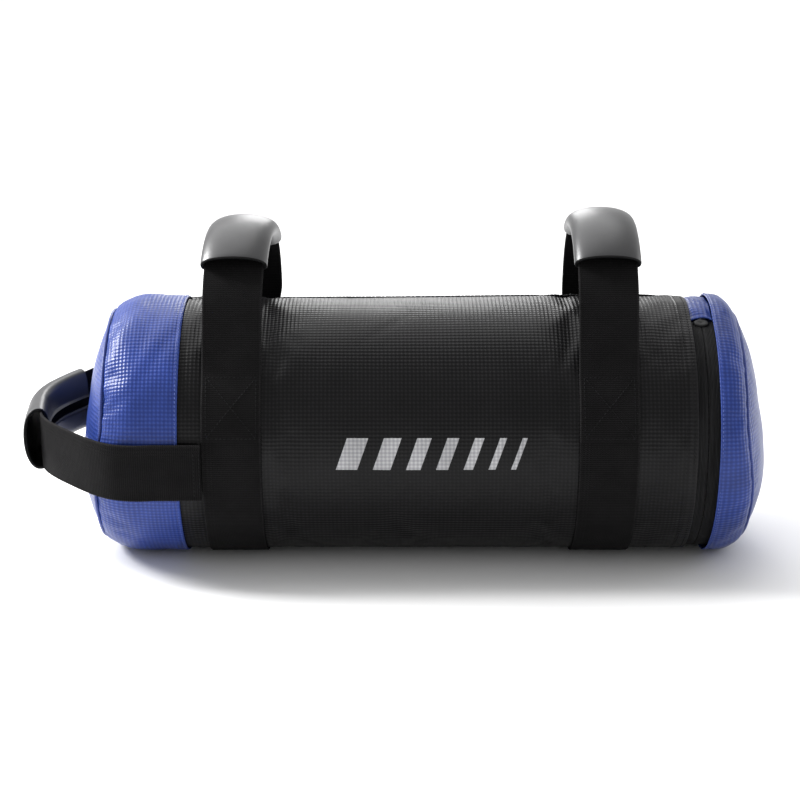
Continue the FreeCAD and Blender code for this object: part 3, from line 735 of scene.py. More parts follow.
def lumps(depth, seed):
    """The slow unevenness of a packed filling."""
    rng = np.random.default_rng(seed)
    terms = [(rng.integers(2, 9), rng.uniform(12, 60), rng.uniform(0, TURN), rng.uniform(0.4, 1.0))
             for _ in range(9)]

    def lift(base, lengths, turns):
        s = lengths[:, None]
        total = sum(size * np.cos(beat * turns[None, :] + rate * s + phase)
                    for beat, rate, phase, size in terms)
        up = smooth_step(base[..., 2], 4 * MM, 22 * MM)
        return depth * total / 4 * up

    return lift


# ---------------------------------------------------------------- stitches, ribbons and tubes


def read_along(steps, values, distance):
    """A path's values at one distance along it."""
    return np.array([np.interp(distance, steps, values[:, k]) for k in range(3)])


def stitch_lines(name, lines, normals, body, material, pitch=3.4 * MM, size=(2.5, 0.75, 0.42)):
    """Rows of thread stitches, half sunk along lines of points that each have their normals.

    Each stitch leans a little to one side, as a lock stitch does."""
    sides, lean = 6, 0.10
    rings = [(t, swell * math.cos(turn), swell * math.sin(turn))
             for t, swell in ((-0.36, 0.8), (0.0, 1.0), (0.36, 0.8)) for turn in full_turn(sides)]
    template = np.array([(-0.5, 0, 0), *rings, (0.5, 0, 0)])
    shape = []
    for k in range(sides):
        n = (k + 1) % sides
        shape.append([0, 1 + n, 1 + k])
        for ring in (0, 1):
            a = 1 + ring * sides
            shape.append([a + k, a + n, a + sides + n, a + sides + k])
        shape.append([1 + 2 * sides + k, 1 + 2 * sides + n, 1 + 3 * sides])
    length, width, height = (s * MM for s in size)
    all_points, all_faces = [], []
    for line, face in zip(lines, normals):
        steps = path_lengths(line)
        for d in np.arange(0.5 * pitch, steps[-1] - 0.3 * pitch, pitch):
            place, up = read_along(steps, line, d), read_along(steps, face, d)
            up /= np.linalg.norm(up)
            run = (read_along(steps, line, min(d + 1 * MM, steps[-1]))
                   - read_along(steps, line, max(d - 1 * MM, 0)))
            run -= up * (run @ up)
            run /= np.linalg.norm(run)
            side = np.cross(up, run)
            run = run + lean * side
            body_points = (template[:, :1] * length * run + template[:, 1:2] * width / 2 * side
                           + template[:, 2:] * height / 2 * up)
            offset = len(all_points) * len(template)
            all_points.append(place + body_points)
            all_faces += [[i + offset for i in f] for f in shape]
    piece = finish_mesh(name, np.concatenate(all_points), all_faces, None, material)
    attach(piece, body)


def smoothed(path, passes):
    """A path with its corners eased; the ends stay."""
    path = np.array(path)
    for _ in range(passes):
        path[1:-1] = 0.25 * path[:-2] + 0.5 * path[1:-1] + 0.25 * path[2:]
    return path


def straight(start, end, count):
    """Points from start to end, without start itself."""
    return [tuple(np.array(start) * (1 - t) + np.array(end) * t) for t in np.linspace(0, 1, count)[1:]]


def resampled(path, step):
    path = np.asarray(path)
    lengths = path_lengths(path)
    d = np.linspace(0, lengths[-1], int(round(lengths[-1] / step)) + 1)
    return np.stack([np.interp(d, lengths, path[:, k]) for k in range(3)], 1), d


def ribbon_outline():
    """Half of a strap's section is (across, up) in shares of half its width and thickness."""
    upper = [(-1.0, 0.30), (-0.985, 0.80), (-0.955, 1.0), (-0.925, 0.86), (-0.89, 0.90)]
    upper += [(w, 0.92) for w in np.linspace(-0.8, 0.8, 9)]
    upper += [(-w, t) for w, t in upper[4::-1]]
    lower = [(-w, -t) for w, t in upper]
    return upper + lower


RIBBON = ribbon_outline()
WEB_STEP = 0.85 * MM


def ribbon(name, path, across, material, width=WEB_WIDTH, thick=WEB_THICK, step=WEB_STEP, outward=1,
           ripple=None):
    """A strap along a path, with beaded, slightly toothed edges. across is its width direction.

    Gives the piece, the evenly stepped path and the way that faces out at each point of it."""
    path, distance = resampled(path, step)
    along = np.gradient(path, axis=0)
    along /= np.linalg.norm(along, axis=1, keepdims=True)
    across = np.asarray(across, float)
    up = np.cross(along, across) * outward
    up /= np.linalg.norm(up, axis=1, keepdims=True)
    shape = np.array(RIBBON)
    half_w, half_t = width / 2, thick / 2
    tooth = 0.16 * MM * np.where(np.arange(len(path)) % 2, 1.0, -1.0)
    wide = shape[:, 0][None, :] * (half_w + tooth[:, None] * (np.abs(shape[:, 0]) > 0.95)[None, :])
    lift = shape[:, 1][None, :] * half_t * np.ones((len(path), 1))
    if ripple is not None:
        lift = lift + ripple(distance)[:, None] * (shape[:, 1] > 0)[None, :]
    points = path[:, None] + wide[..., None] * across + lift[..., None] * up[:, None]
    perimeter = np.append(shape[:, 0] * half_w, shape[0, 0] * half_w)
    chart = chart_of(perimeter[None, :], distance[:, None])
    worn = np.repeat((np.abs(shape[:, 0]) > 0.95).astype(float)[None, :], len(path), axis=0)
    if outward < 0:
        points, chart, worn = (grid[:, ::-1] for grid in (points, chart, worn))
    return grid_mesh(name, points, chart, material, wrap=True, wear=worn, caps=("first", "last")), path, up


def tube(name, path, radius, material, sides=10, closed=False, side_way=(1.0, 0, 0)):
    """A round tube along a path."""
    path = np.asarray(path, float)
    if closed:
        along = np.roll(path, -1, axis=0) - np.roll(path, 1, axis=0)
    else:
        along = np.gradient(path, axis=0)
    along /= np.linalg.norm(along, axis=1, keepdims=True)
    reference = np.broadcast_to(np.asarray(side_way, float), path.shape)
    side = reference - along * (reference * along).sum(1, keepdims=True)
    side /= np.linalg.norm(side, axis=1, keepdims=True)
    up = np.cross(along, side)
    turns = full_turn(sides)
    points = (path[:, None] + radius * np.cos(turns)[None, :, None] * side[:, None]
              + radius * np.sin(turns)[None, :, None] * up[:, None])
    lengths = path_lengths(np.concatenate([path, path[:1]]))
    if closed:
        points = np.concatenate([points, points[:1]])
    chart = chart_of((full_turn(sides, 1) * radius)[None, :], lengths[:len(points), None])
    points, chart = points[:, ::-1], chart[:, ::-1]
    if not closed:
        return grid_mesh(name, points, chart, material, wrap=True, caps=("first", "last"))
    return weld(grid_mesh(name, points, chart, material, wrap=True))


# ---------------------------------------------------------------- covers


def seam_dip(lengths, seam, width=2.2 * MM):
    """The cloth sinks beside the piping."""
    return -0.9 * MM * ridge(lengths - seam, width)


left_seam, left_total = left_skin.length_at_x(band_lo.x), left_skin.lengths[-1]
lengths = edge_lengths(0, left_seam, 3 * MM, 0, 6 * MM, 0.8 * MM)
panel("left_end_cover", left_skin, lengths, BLUE_CLOTH, "bag", "left_end_disc",
      seam_dip(lengths, left_seam), ridge(lengths - left_seam, 3 * MM),
      together(seam_puckers(left_seam, 0.5 * MM, 46, 3), lumps(0.35 * MM, 5)), planar=True)

lengths = edge_lengths(left_seam, left_total, 2.2 * MM, 6 * MM, 6 * MM)
panel("left_band_cover", left_skin, lengths, BLUE_CLOTH, "bag", "left_end_band",
      hem(left_total - lengths, 2.6 * MM, 0.55 * MM) + seam_dip(lengths, left_seam),
      np.maximum(ridge(lengths - left_total, 1.2 * MM), ridge(lengths - left_seam, 3 * MM)),
      together(seam_puckers(left_seam, 0.55 * MM, 46, 4), lumps(0.4 * MM, 6),
               creases(16, 0.9 * MM, left_seam + 8 * MM, left_total - 14 * MM, 11)))

lengths = edge_lengths(0, main_skin.lengths[-1], 3 * MM, 0, 14 * MM)
to_edge = main_skin.lengths[-1] - lengths
main_cover = panel(
    "barrel_cover", main_skin, lengths, BLACK_CLOTH, "bag", "barrel_shell",
    hem(to_edge, 9.5 * MM, 0.45 * MM) - 0.30 * MM * ridge(to_edge - 3 * MM, 0.9 * MM)
    - 0.22 * MM * ridge(to_edge - 6.2 * MM, 1.2 * MM),
    ridge(to_edge, 1.4 * MM) + 0.5 * ridge(to_edge - 4.6 * MM, 0.9 * MM),
    together(lumps(0.35 * MM, 8), creases(12, 0.35 * MM, 60 * MM, 360 * MM, 21, 0.9, (0.06, 0.16))),
    thickness=1.6 * MM)

right_seam = right_skin.length_at_x(right_hi.x)
lengths = edge_lengths(0, right_seam, 1.6 * MM, 6 * MM, 5 * MM)
panel("right_band_cover", right_skin, lengths, BLUE_CLOTH, "end_cap", "right_end_band",
      hem(lengths, 2.6 * MM, 0.55 * MM) + seam_dip(lengths, right_seam, 2.0 * MM),
      np.maximum(ridge(lengths, 1.2 * MM), ridge(lengths - right_seam, 3 * MM)),
      together(seam_puckers(right_seam, 0.4 * MM, 52, 14), lumps(0.3 * MM, 16)))

lengths = edge_lengths(right_seam, right_skin.lengths[-1], 3 * MM, 6 * MM, 0, 0.8 * MM)
panel("right_end_cover", right_skin, lengths, BLUE_CLOTH, "end_cap", "right_end_disc",
      seam_dip(lengths, right_seam), ridge(lengths - right_seam, 3 * MM),
      together(seam_puckers(right_seam, 0.5 * MM, 44, 15), lumps(0.35 * MM, 17)), planar=True)

for name, skin, length, body, node in (
        ("left_end_welt", left_skin, left_seam, "bag", "left_end_piping"),
        ("right_end_welt", right_skin, right_seam, "end_cap", "right_end_piping")):
    seam = skin.at_length([length - 1 * MM, length, length + 1 * MM], full_turn(396))
    outward = normals_of(seam)[1]
    welt = tube(name, seam[1] + outward * 0.15 * MM, 1.25 * MM, WELT, 10, closed=True, side_way=outward)
    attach(welt, body)
    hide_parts(node)


def skin_line(skin, length, lift):
    """A closed line round a skin at one length, with its normals."""
    band = skin.at_length([length - 1 * MM, length, length + 1 * MM], full_turn(330, 1))
    normal = normals_of(band, wrap=False)[1]
    return band[1] + normal * lift, normal


for name, skin, lengths, lift, body, material in (
        ("left_hem_stitches", left_skin, [left_total - 2.0 * MM], 0.35 * MM, "bag", BLUE_THREAD),
        ("right_hem_stitches", right_skin, [2.0 * MM], 0.35 * MM, "end_cap", BLUE_THREAD),
        ("barrel_edge_stitches", main_skin, [main_skin.lengths[-1] - d for d in (3 * MM, 9 * MM)], 0.25 * MM,
         "bag", BLACK_THREAD)):
    lines, normals = zip(*[skin_line(skin, length, lift) for length in lengths])
    stitch_lines(name, lines, normals, body, material)


# ---------------------------------------------------------------- the lengthwise seam at the top

tape_lo, tape_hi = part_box("barrel_seam_tape")
seam_angle = TOP + math.asin((tape_lo.y + tape_hi.y) / 2 / BARREL_R)
seam_across = np.array([0, math.sin(seam_angle), math.cos(seam_angle)])
seam_up = np.array([0, -math.cos(seam_angle), math.sin(seam_angle)])
seam_width = (tape_hi.y - tape_lo.y) / math.sin(seam_angle)
tape_lengths = main_skin.length_at_x(np.arange(tape_lo.x, tape_hi.x, 1.0 * MM))
crest = main_skin.at_length(tape_lengths, [seam_angle - 0.01, seam_angle, seam_angle + 0.01])
seam_strip, strip_path, strip_up = ribbon(
    "barrel_seam_strip", crest[:, 1] + seam_up * 0.35 * MM, tuple(seam_across), SEAM_TAPE, seam_width,
    0.9 * MM, 0.65 * MM, ripple=lambda d: 0.22 * MM * np.cos(d * TURN / (4.2 * MM)))
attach(seam_strip, "bag")
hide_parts("barrel_seam_tape")
lines = [strip_path + seam_across * w + seam_up * 0.55 * MM for w in (-3.6 * MM, 3.6 * MM)]
stitch_lines("seam_strip_stitches", lines, [strip_up, strip_up], "bag", BLACK_THREAD, 2.8 * MM,
             (2.0, 0.8, 0.55))


# ---------------------------------------------------------------- straps and handles


def belly_path(x):
    """From the front edge of the strap under the bag to its rear edge, along the middle of its thickness."""
    radius = BARREL_R + 0.15 * MM + WEB_THICK / 2
    turns = np.linspace(STRAP_TOP, STRAP_TOP - TURN + (math.pi - 2 * STRAP_TOP), 420)
    path = np.array([ring_point(x, radius, t) for t in turns])
    path[:, 2] = np.maximum(path[:, 2], WEB_THICK / 2)
    return smoothed(path, 6)


for side, x in STRAP_X.items():
    strap, strap_path, strap_up = ribbon(f"belly_strap_{side}", belly_path(x), (1, 0, 0), WEBBING, outward=-1)
    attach(strap, "bag")
    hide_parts(f"girth_strap_{side}")
    edge = WEB_WIDTH / 2 - 3 * MM
    keep = strap_path[:, 2] > 8 * MM
    halves = [np.flatnonzero(keep & (strap_path[:, 1] < 0)), np.flatnonzero(keep & (strap_path[:, 1] > 0))]
    lines = [strap_path[h] + np.array([dx, 0, 0]) + strap_up[h] * 1.15 * MM
             for h in halves for dx in (-edge, edge)]
    ups = [strap_up[h] for h in halves for _ in range(2)]
    stitch_lines(f"belly_strap_{side}_stitches", lines, ups, "bag", BLACK_THREAD, 3.6 * MM, (2.6, 0.7, 0.4))


def top_loop_path(x, centre_z):
    """From the front anchor's lower end, up the leg, over the loop and down to the rear anchor."""
    lean, sewn_low = math.radians(15), math.radians(7)
    front = [ring_point(x, ANCHOR_R - WEB_THICK / 2, t) for t in np.linspace(sewn_low, STRAP_TOP, 60)]
    touch = (x, -LOOP_R * math.cos(lean), centre_z + LOOP_R * math.sin(lean))
    leg = straight(front[-1], touch, 60)
    over = [(x, -LOOP_R * math.cos(t), centre_z + LOOP_R * math.sin(t))
            for t in np.linspace(lean, TOP, 100)[1:]]
    half = np.array(front + leg + over)
    path = np.concatenate([half, (half * [1, -1, 1])[-2::-1]])
    return smoothed(resampled(path, WEB_STEP)[0], 60)


def box_and_cross(low, high, half):
    """Corners of the sewn box with its cross, as lines of (across, along)."""
    corners = [(-half, low), (half, low), (half, high), (-half, high), (-half, low)]
    return [corners, [(-half, low), (half, high)], [(half, low), (-half, high)]]


def anchor_stitches(name, x):
    """The box-and-cross stitching that holds each lower end of a handle to the bag."""
    lines, ups = [], []
    for front in (True, False):
        for corners in box_and_cross(math.radians(9.0), math.radians(35.0), WEB_WIDTH / 2 - 4 * MM):
            fine = []
            for (x0, a0), (x1, a1) in zip(corners, corners[1:]):
                fine += [(x0 + (x1 - x0) * t, a0 + (a1 - a0) * t) for t in np.linspace(0, 1, 24)]
            line = [ring_point(x + dx, ANCHOR_R - 0.02 * MM, a if front else math.pi - a) for dx, a in fine]
            up = [(0, -math.cos(a) if front else math.cos(a), math.sin(a)) for _, a in fine]
            lines.append(np.array(line))
            ups.append(np.array(up))
    stitch_lines(name, lines, ups, "bag", BLACK_THREAD, 3.4 * MM, (2.6, 0.8, 0.5))


def oval(half_width, top, bottom, power, angle):
    """A point of a rounded section; angle 0 is across and a quarter turn is up."""
    c, s = math.cos(angle), math.sin(angle)
    height = top if s > 0 else bottom
    return (math.copysign(abs(c) ** (2 / power), c) * half_width,
            math.copysign(abs(s) ** (2 / power), s) * height)


def grip_mesh(name, to_world):
    """A slit sleeve bent round the top of a loop. to_world takes (across, along arc angle, height)."""
    around = 56
    slit = math.radians(4)
    turns = np.linspace(-TOP + slit, TURN - TOP - slit, around)
    middle_height, wall = 2 * MM, 3.2 * MM
    half_width = WEB_WIDTH / 2 + GRIP_SIDE
    outer = [oval(half_width, GRIP_CROWN - middle_height, GRIP_UNDER + middle_height,
                  2.15 if math.sin(t) > 0 else 2.8, t) for t in turns]
    inner = [oval(half_width - wall, GRIP_CROWN - middle_height - wall, GRIP_UNDER + middle_height - wall,
                  2.5 if math.sin(t) > 0 else 3.4, t) for t in turns]
    outer, inner = np.array(outer) + [0, middle_height], np.array(inner) + [0, middle_height]
    middle = (outer + inner) / 2
    lip = 1.25 * MM
    rings = [(-GRIP_REACH + lip * (1 - math.cos(w)) / LOOP_R, math.sin(w)) for w in np.linspace(0, TOP, 5)]
    body = [(a, 1.0) for a in np.linspace(-GRIP_REACH + lip / LOOP_R, GRIP_REACH - lip / LOOP_R, 42)[1:-1]]
    rings = rings + body + [(-a, c) for a, c in rings[::-1]]
    points = []
    for angle, full in rings:
        share = 0.35 + 0.65 * full
        out_ring = middle + (outer - middle) * share
        in_ring = middle + (inner - middle) * share
        lipped = np.concatenate([out_ring, in_ring[::-1]])
        points.append([to_world(w, angle, h) for w, h in lipped])
    points = np.array(points)
    section = np.concatenate([points[10], points[10][:1]])
    along = np.array([a for a, _ in rings]) * LOOP_R
    chart = chart_of(path_lengths(section)[None, :], along[:, None])
    rows_n, cols_n = points.shape[:2]
    faces, at = quads(rows_n, cols_n, True)
    faces = [list(f)[::-1] for f in faces]
    corners = chart[at[..., 0], at[..., 1]][:, ::-1].reshape(-1, 2)
    extra, extra_chart = [], []
    half = cols_n // 2
    for row, turn in ((0, 1), (rows_n - 1, -1)):
        for k in range(half - 1):
            face = [row * cols_n + k, row * cols_n + k + 1, row * cols_n + cols_n - 2 - k,
                    row * cols_n + cols_n - 1 - k][::turn]
            extra.append(face)
            extra_chart += [chart[row, i % cols_n] for i in face]
    piece = finish_mesh(name, points.reshape(-1, 3), faces + extra,
                        np.concatenate([corners, np.array(extra_chart)]), GRIP)
    # The inner face and the rows at each mouth take the darker copy of the plastic: painted shade inside the
    # sleeve.
    piece.data.materials.append(GRIP_PAINTED_SHADE)
    lip_rows = 3
    for polygon in piece.data.polygons:
        row, column = divmod(polygon.index, cols_n)
        at_mouth = row < lip_rows or row >= rows_n - 1 - lip_rows
        polygon.material_index = int(at_mouth or column >= half)
    return piece


HANDLE_DRIFT = {"left": 8 * MM, "right": -1.5 * MM}
GRIP_SLIDE = {"left": math.radians(3.5), "right": math.radians(7.5)}


def drifted(points, side):
    """The loop leans a little along the bag towards its rear leg, above where it is sewn."""
    out = np.array(points, float)
    out[..., 0] += HANDLE_DRIFT[side] * (
        smooth_step(out[..., 1], -85 * MM, 85 * MM) * smooth_step(out[..., 2], 165 * MM, 212 * MM))
    return out


for side, x in STRAP_X.items():
    body = f"handle_{side}"
    web_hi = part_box(f"{body}_webbing")[1]
    centre_z = web_hi.z - WEB_THICK / 2 - LOOP_R
    strap, _, _ = ribbon(f"{body}_strap", drifted(top_loop_path(x, centre_z), side), (1, 0, 0), WEBBING)
    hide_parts(f"{body}_anchors", f"{body}_webbing")
    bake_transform(strap)
    anchor_stitches(f"{body}_stitches", x)

    def on_top(w, angle, h, x=x, centre_z=centre_z, side=side):
        reach, turn = LOOP_R + h, angle - GRIP_SLIDE[side]
        return tuple(drifted((x + w, reach * math.sin(turn), centre_z + reach * math.cos(turn)), side))

    grip = grip_mesh(f"{body}_sleeve", on_top)
    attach(grip, body)
    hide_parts(f"{body}_grip")


END_LEAN = math.radians(50)
END_OFFSET = 108.9 * MM
end_hinge = Vector(joint("end_handle_tilt")["pos_m"])
end_across = Vector(joint("end_handle_tilt")["axis"]).normalized()
end_wide = Vector((0, -end_across.z, end_across.y))
end_centre_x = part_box("end_handle_webbing")[0].x + WEB_THICK / 2 + LOOP_R


def in_end_plane(x, across, wide=0.0):
    """A point of the end handle: across is towards the rear in its plane, wide is out of it."""
    return tuple(Vector((x, 0, end_hinge.z)) + end_across * across + end_wide * wide)


def end_drifted(points):
    """The loop hangs a little askew: its front leg lower and further out, its rear leg higher."""
    out = np.array(points, float)
    x, y = out[..., 0].copy(), out[..., 1].copy()
    past_end = 1 - smooth_step(x, -266 * MM, -222 * MM)
    out[..., 0] -= past_end * (10 * MM * smooth_step(-y, 12 * MM, 62 * MM) - 3 * MM)
    over_band = smooth_step(-x, 186 * MM, 202 * MM) * (1 - smooth_step(-x, 236 * MM, 262 * MM))
    out[..., 1] += 1.8 * MM * over_band * np.sign(y)
    out[..., 2] += 6.5 * MM * smooth_step(y, 35 * MM, 100 * MM) - 2 * MM * smooth_step(-y, 20 * MM, 100 * MM)
    return out


def end_loop_path():
    """From the front strap's edge, past the end and round, in a plane rolled about the bag's axis."""
    run = [(x, -END_OFFSET) for x in np.arange(strap_lo.x - 0.2 * MM, end_centre_x - 4.6 * MM, -0.8 * MM)]
    touch = (end_centre_x - LOOP_R * math.sin(END_LEAN), -LOOP_R * math.cos(END_LEAN))
    leg = straight(run[-1], touch, 90)
    over = [(end_centre_x - LOOP_R * math.sin(t), -LOOP_R * math.cos(t))
            for t in np.linspace(END_LEAN, TOP, 70)[1:]]
    half = run + leg + over
    whole = half + [(x, -y) for x, y in half[-2::-1]]
    path, _ = resampled([in_end_plane(x, y) for x, y in whole], WEB_STEP)
    eased, loose = smoothed(path, 60), smoothed(path, 560)
    share = smooth_step(path[:, :1], end_centre_x - 46 * MM, end_centre_x - 24 * MM)
    return end_drifted(eased * (1 - share) + loose * share)


strap, _, _ = ribbon("end_handle_strap", end_loop_path(), tuple(end_wide), WEBBING, outward=-1)
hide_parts("end_handle_anchors", "end_handle_webbing")
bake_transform(strap)
lines, ups = [], []
for sign in (-1, 1):
    for dx in (-1.5 * MM, -6 * MM):
        lines.append(end_drifted([in_end_plane(strap_lo.x + dx, sign * (END_OFFSET + 1.25 * MM), w * MM)
                                  for w in range(-20, 21, 2)]))
        ups.append(np.array([tuple(end_across * sign)] * len(lines[-1]), float))
stitch_lines("end_handle_stitches", lines, ups, "bag", BLACK_THREAD)


def on_end(w, angle, h):
    reach, turn = LOOP_R + h, angle + END_GRIP_SLIDE
    return tuple(end_drifted(in_end_plane(end_centre_x - reach * math.cos(turn), reach * math.sin(turn), w)))


grip = grip_mesh("end_handle_sleeve", on_end)
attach(grip, "end_handle")
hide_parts("end_handle_grip")


# ---------------------------------------------------------------- the zip

ZIP_GAP, CAP_GAP = math.radians(20.7), math.radians(31.2)
ZIP_FRONT, ZIP_REAR, CAP_REAR = TOP + TURN - ZIP_GAP, TOP + ZIP_GAP, TOP + CAP_GAP


def tape_rows(outer_x, inner_x, radius):
    """A zip tape's section, rolled under at the teeth."""
    way = 1 if inner_x > outer_x else -1
    width = abs(inner_x - outer_x)
    roll_r = 0.9 * MM
    flat = [(outer_x + way * t * width, radius + 0.10 * MM * math.sin(t * 9))
            for t in np.linspace(0, 0.86, 14)]
    roll = [(inner_x - way * roll_r * (1 - math.sin(t)), radius - roll_r * (1 - math.cos(t)))
            for t in np.linspace(0.15, TOP, 5)]
    rows = flat + roll
    return rows if way > 0 else rows[::-1]


for name, node, body, start in (("zip_tape_fixed", "zip_tape_barrel", "bag", ZIP_REAR),
                                ("zip_tape_moving", "zip_tape_cap", "end_cap", CAP_REAR)):
    lo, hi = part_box(node)
    tucked, roll = 3 * MM, 0.74 * MM
    outer, inner = (lo.x - tucked, hi.x + roll) if body == "bag" else (hi.x + tucked, lo.x - roll)
    rows = tape_rows(outer, inner, (hi.y - lo.y) / 2)
    turns = np.linspace(start, ZIP_FRONT, int((ZIP_FRONT - start) * BARREL_R / (2.4 * MM)) + 1)
    points = np.array([[ring_point(x, r, t) for t in turns] for x, r in rows])
    chart = chart_of(section_lengths(rows)[:, None], (turns * BARREL_R)[None, :])
    tape = grid_mesh(name, points, chart, ZIP_TAPE)
    thicken(tape, 0.8 * MM)
    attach(tape, body)
    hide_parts(node)

for name, node, body, start in (("zip_coil_fixed", "zip_coil_barrel", "bag", ZIP_REAR),
                                ("zip_coil_moving", "zip_coil_cap", "end_cap", CAP_REAR)):
    lo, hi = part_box(node)
    ring = (hi.y - lo.y) / 2
    half_x, half_r = (hi.x - lo.x) / 2 - 0.25 * MM, 0.42 * MM
    coil_pitch = 1.9 * MM
    count = int((ZIP_FRONT - start) * ring / coil_pitch)
    t = np.arange(count * 9) / 9
    angle = start + t * coil_pitch / ring
    radius = ring - 0.66 * MM + half_r * np.sin(t * TURN)
    path = ring_points((lo.x + hi.x) / 2 + half_x * np.cos(t * TURN), radius, angle)
    coil = tube(name, path, 0.24 * MM, ZIP_TEETH, 4, side_way=np.stack(
        [np.zeros_like(angle), -np.cos(angle), np.sin(angle)], 1))
    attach(coil, body)
    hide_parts(node)

gusset_lo, gusset_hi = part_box("zip_gusset")
GUSSET_HALF = math.radians(20.5)
GUSSET_R, STOP_R = 104.3 * MM, 103.35 * MM


def gusset_piece():
    """The flap that hinges the cap: it bulges, and both its lower edges are arched."""
    rows, cols = 22, 60
    points, worn = [], []
    for i in range(rows):
        u = i / (rows - 1)
        x = gusset_lo.x - 1.2 * MM + u * (gusset_hi.x - gusset_lo.x + 2.4 * MM)
        reach = GUSSET_HALF - 0.035 * math.sin(math.pi * u) ** 0.6
        ring = []
        for j in range(cols):
            w = -1 + 2 * j / (cols - 1)
            swell = 0.9 * MM * math.sin(math.pi * u) * (1 - w**4) + 0.35 * MM * math.sin(9 * w + 5 * u)
            edge = max(0.0, 1 - (1 - abs(w)) * 18)
            radius = GUSSET_R + swell + 0.5 * MM * edge
            ring.append(ring_point(x, radius, TOP + w * reach))
            worn.append(0.7 * edge)
        points.append(ring)
    points = settled(points)
    along = np.linspace(0, gusset_hi.x - gusset_lo.x, rows)
    around = np.linspace(-1, 1, cols) * GUSSET_HALF * BARREL_R
    chart = chart_of(along[:, None], around[None, :])
    piece = grid_mesh("zip_fold", points, chart, BLUE_CLOTH, wear=worn)
    thicken(piece, 1.3 * MM)
    return piece


fold = gusset_piece()
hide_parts("zip_gusset")
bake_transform(fold)


def zip_stop():
    """The rounded, turned-in end of the zip tapes, just below the flap's front edge."""
    reach_x, reach = 6.6 * MM, 5.2 * MM
    middle_x = (gusset_lo.x + gusset_hi.x) / 2
    below_flap = ZIP_FRONT - TURN - 2.2 * MM / BARREL_R
    points, rings, spokes = [], 9, 40
    for i in range(rings):
        share = i / (rings - 1)
        spread = max(share, 0.02)
        height = STOP_R + 1.1 * MM * math.sqrt(max(0.0, 1 - share**2)) - 0.7 * MM * ridge(share, 0.45)
        points.append([ring_point(middle_x + spread * reach_x * math.cos(t), height,
                                  below_flap + spread * reach * math.sin(t) / BARREL_R)
                       for t in full_turn(spokes)])
    points = np.array(points)
    chart = np.concatenate([points, points[:, :1]], axis=1)[..., [0, 1]]
    piece = grid_mesh("zip_stop", points, chart, ZIP_END, wrap=True)
    thicken(piece, 0.8 * MM)
    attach(piece, "bag")


zip_stop()

for node, slot_name in (("zip_slider", "slider_metal"), ("zip_pull", "slider_metal")):
    part = frame["nodes"][node]
    part.data.materials.clear()
    part.data.materials.append(METAL)


# ---------------------------------------------------------------- what is inside


def round_section(low_x, high_x, low_r, high_r, corner, step=5 * MM):
    """A closed (x, r) outline of a ring with rounded corners, running so that it faces out."""
    out = []
    for cx, cr, start in ((high_x - corner, high_r - corner, 0), (low_x + corner, high_r - corner, 1),
                          (low_x + corner, low_r + corner, 2), (high_x - corner, low_r + corner, 3)):
        out += [(cx + corner * math.cos(start * TOP + t), cr + corner * math.sin(start * TOP + t))
                for t in np.linspace(0, TOP, 5)]
    fine = []
    for a, b in zip(out, out[1:] + out[:1]):
        steps = max(1, int(math.dist(a, b) / step))
        fine += [(a[0] + (b[0] - a[0]) * k / steps, a[1] + (b[1] - a[1]) * k / steps) for k in range(steps)]
    return fine[::-1]


def turned(name, outline, material, columns=120, closed=True, shape=None, floor=None):
    """A form turned about the axis, with its radii changed by shape(x, r, angle)."""
    turns = full_turn(columns)
    section = outline + outline[:1] if closed else outline
    points = np.array([ring_points(x, shape(x, r, turns) if shape else r, turns) for x, r in section])
    if floor is not None:
        points[..., 2] = np.maximum(points[..., 2], floor)
    chart = chart_of(section_lengths(section)[:, None], (full_turn(columns, 1) * BARREL_R)[None, :])
    piece = grid_mesh(name, points, chart, material, wrap=True)
    return weld(piece) if closed else piece


liner_lo, liner_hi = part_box("foam_liner")
sack_lo, sack_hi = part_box("weight_sack")
SACK_R = (sack_hi.y - sack_lo.y) / 2
liner_inner = SACK_R + 0.4 * MM
liner = turned("liner_foam", round_section(liner_lo.x, liner_hi.x, liner_inner,
                                           (liner_hi.y - liner_lo.y) / 2, 3 * MM), FOAM,
               shape=lambda x, r, t: r + 0.25 * MM * np.cos(17 * t + 60 * x) - 0.3 * MM, floor=liner_lo.z)
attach(liner, "bag")
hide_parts("foam_liner")

tie_lo, tie_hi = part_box("sack_tie")
tie_x = (tie_lo.x + tie_hi.x) / 2
NECK_R = 9 * MM
TIE_R = NECK_R + 1.9 * MM


def sack_outline():
    """From the closed end to the ruffle past the tie."""
    shoulder_x = tie_x - 8 * MM
    body = [(sack_lo.x, r) for r in np.linspace(2 * MM, SACK_R - 14 * MM, 12)]
    body += arc_profile(sack_lo.x + 14 * MM, SACK_R - 14 * MM, 14 * MM, math.pi, TOP, 3 * MM)[1:]
    body += [(x, SACK_R) for x in run_between(sack_lo.x + 14 * MM, shoulder_x - 16 * MM, 8 * MM)[1:]]
    body += arc_profile(shoulder_x - 16 * MM, SACK_R - 16 * MM, 16 * MM, TOP, 0.12, 2.5 * MM)[1:]
    body += [(shoulder_x + (t**2) * 4 * MM, NECK_R + (SACK_R - 18 * MM - NECK_R) * (1 - t))
             for t in np.linspace(0.05, 1, 16)]
    body += [(tie_x, NECK_R - 1.2 * MM), (tie_x + 3 * MM, NECK_R + 0.6 * MM),
             (sack_hi.x - 3 * MM, NECK_R + 2.0 * MM), (sack_hi.x, NECK_R + 3.6 * MM),
             (sack_hi.x - 0.4 * MM, NECK_R + 2.4 * MM), (tie_x + 4 * MM, NECK_R - 2.6 * MM),
             (tie_x + 2 * MM, 1.2 * MM)]
    return body


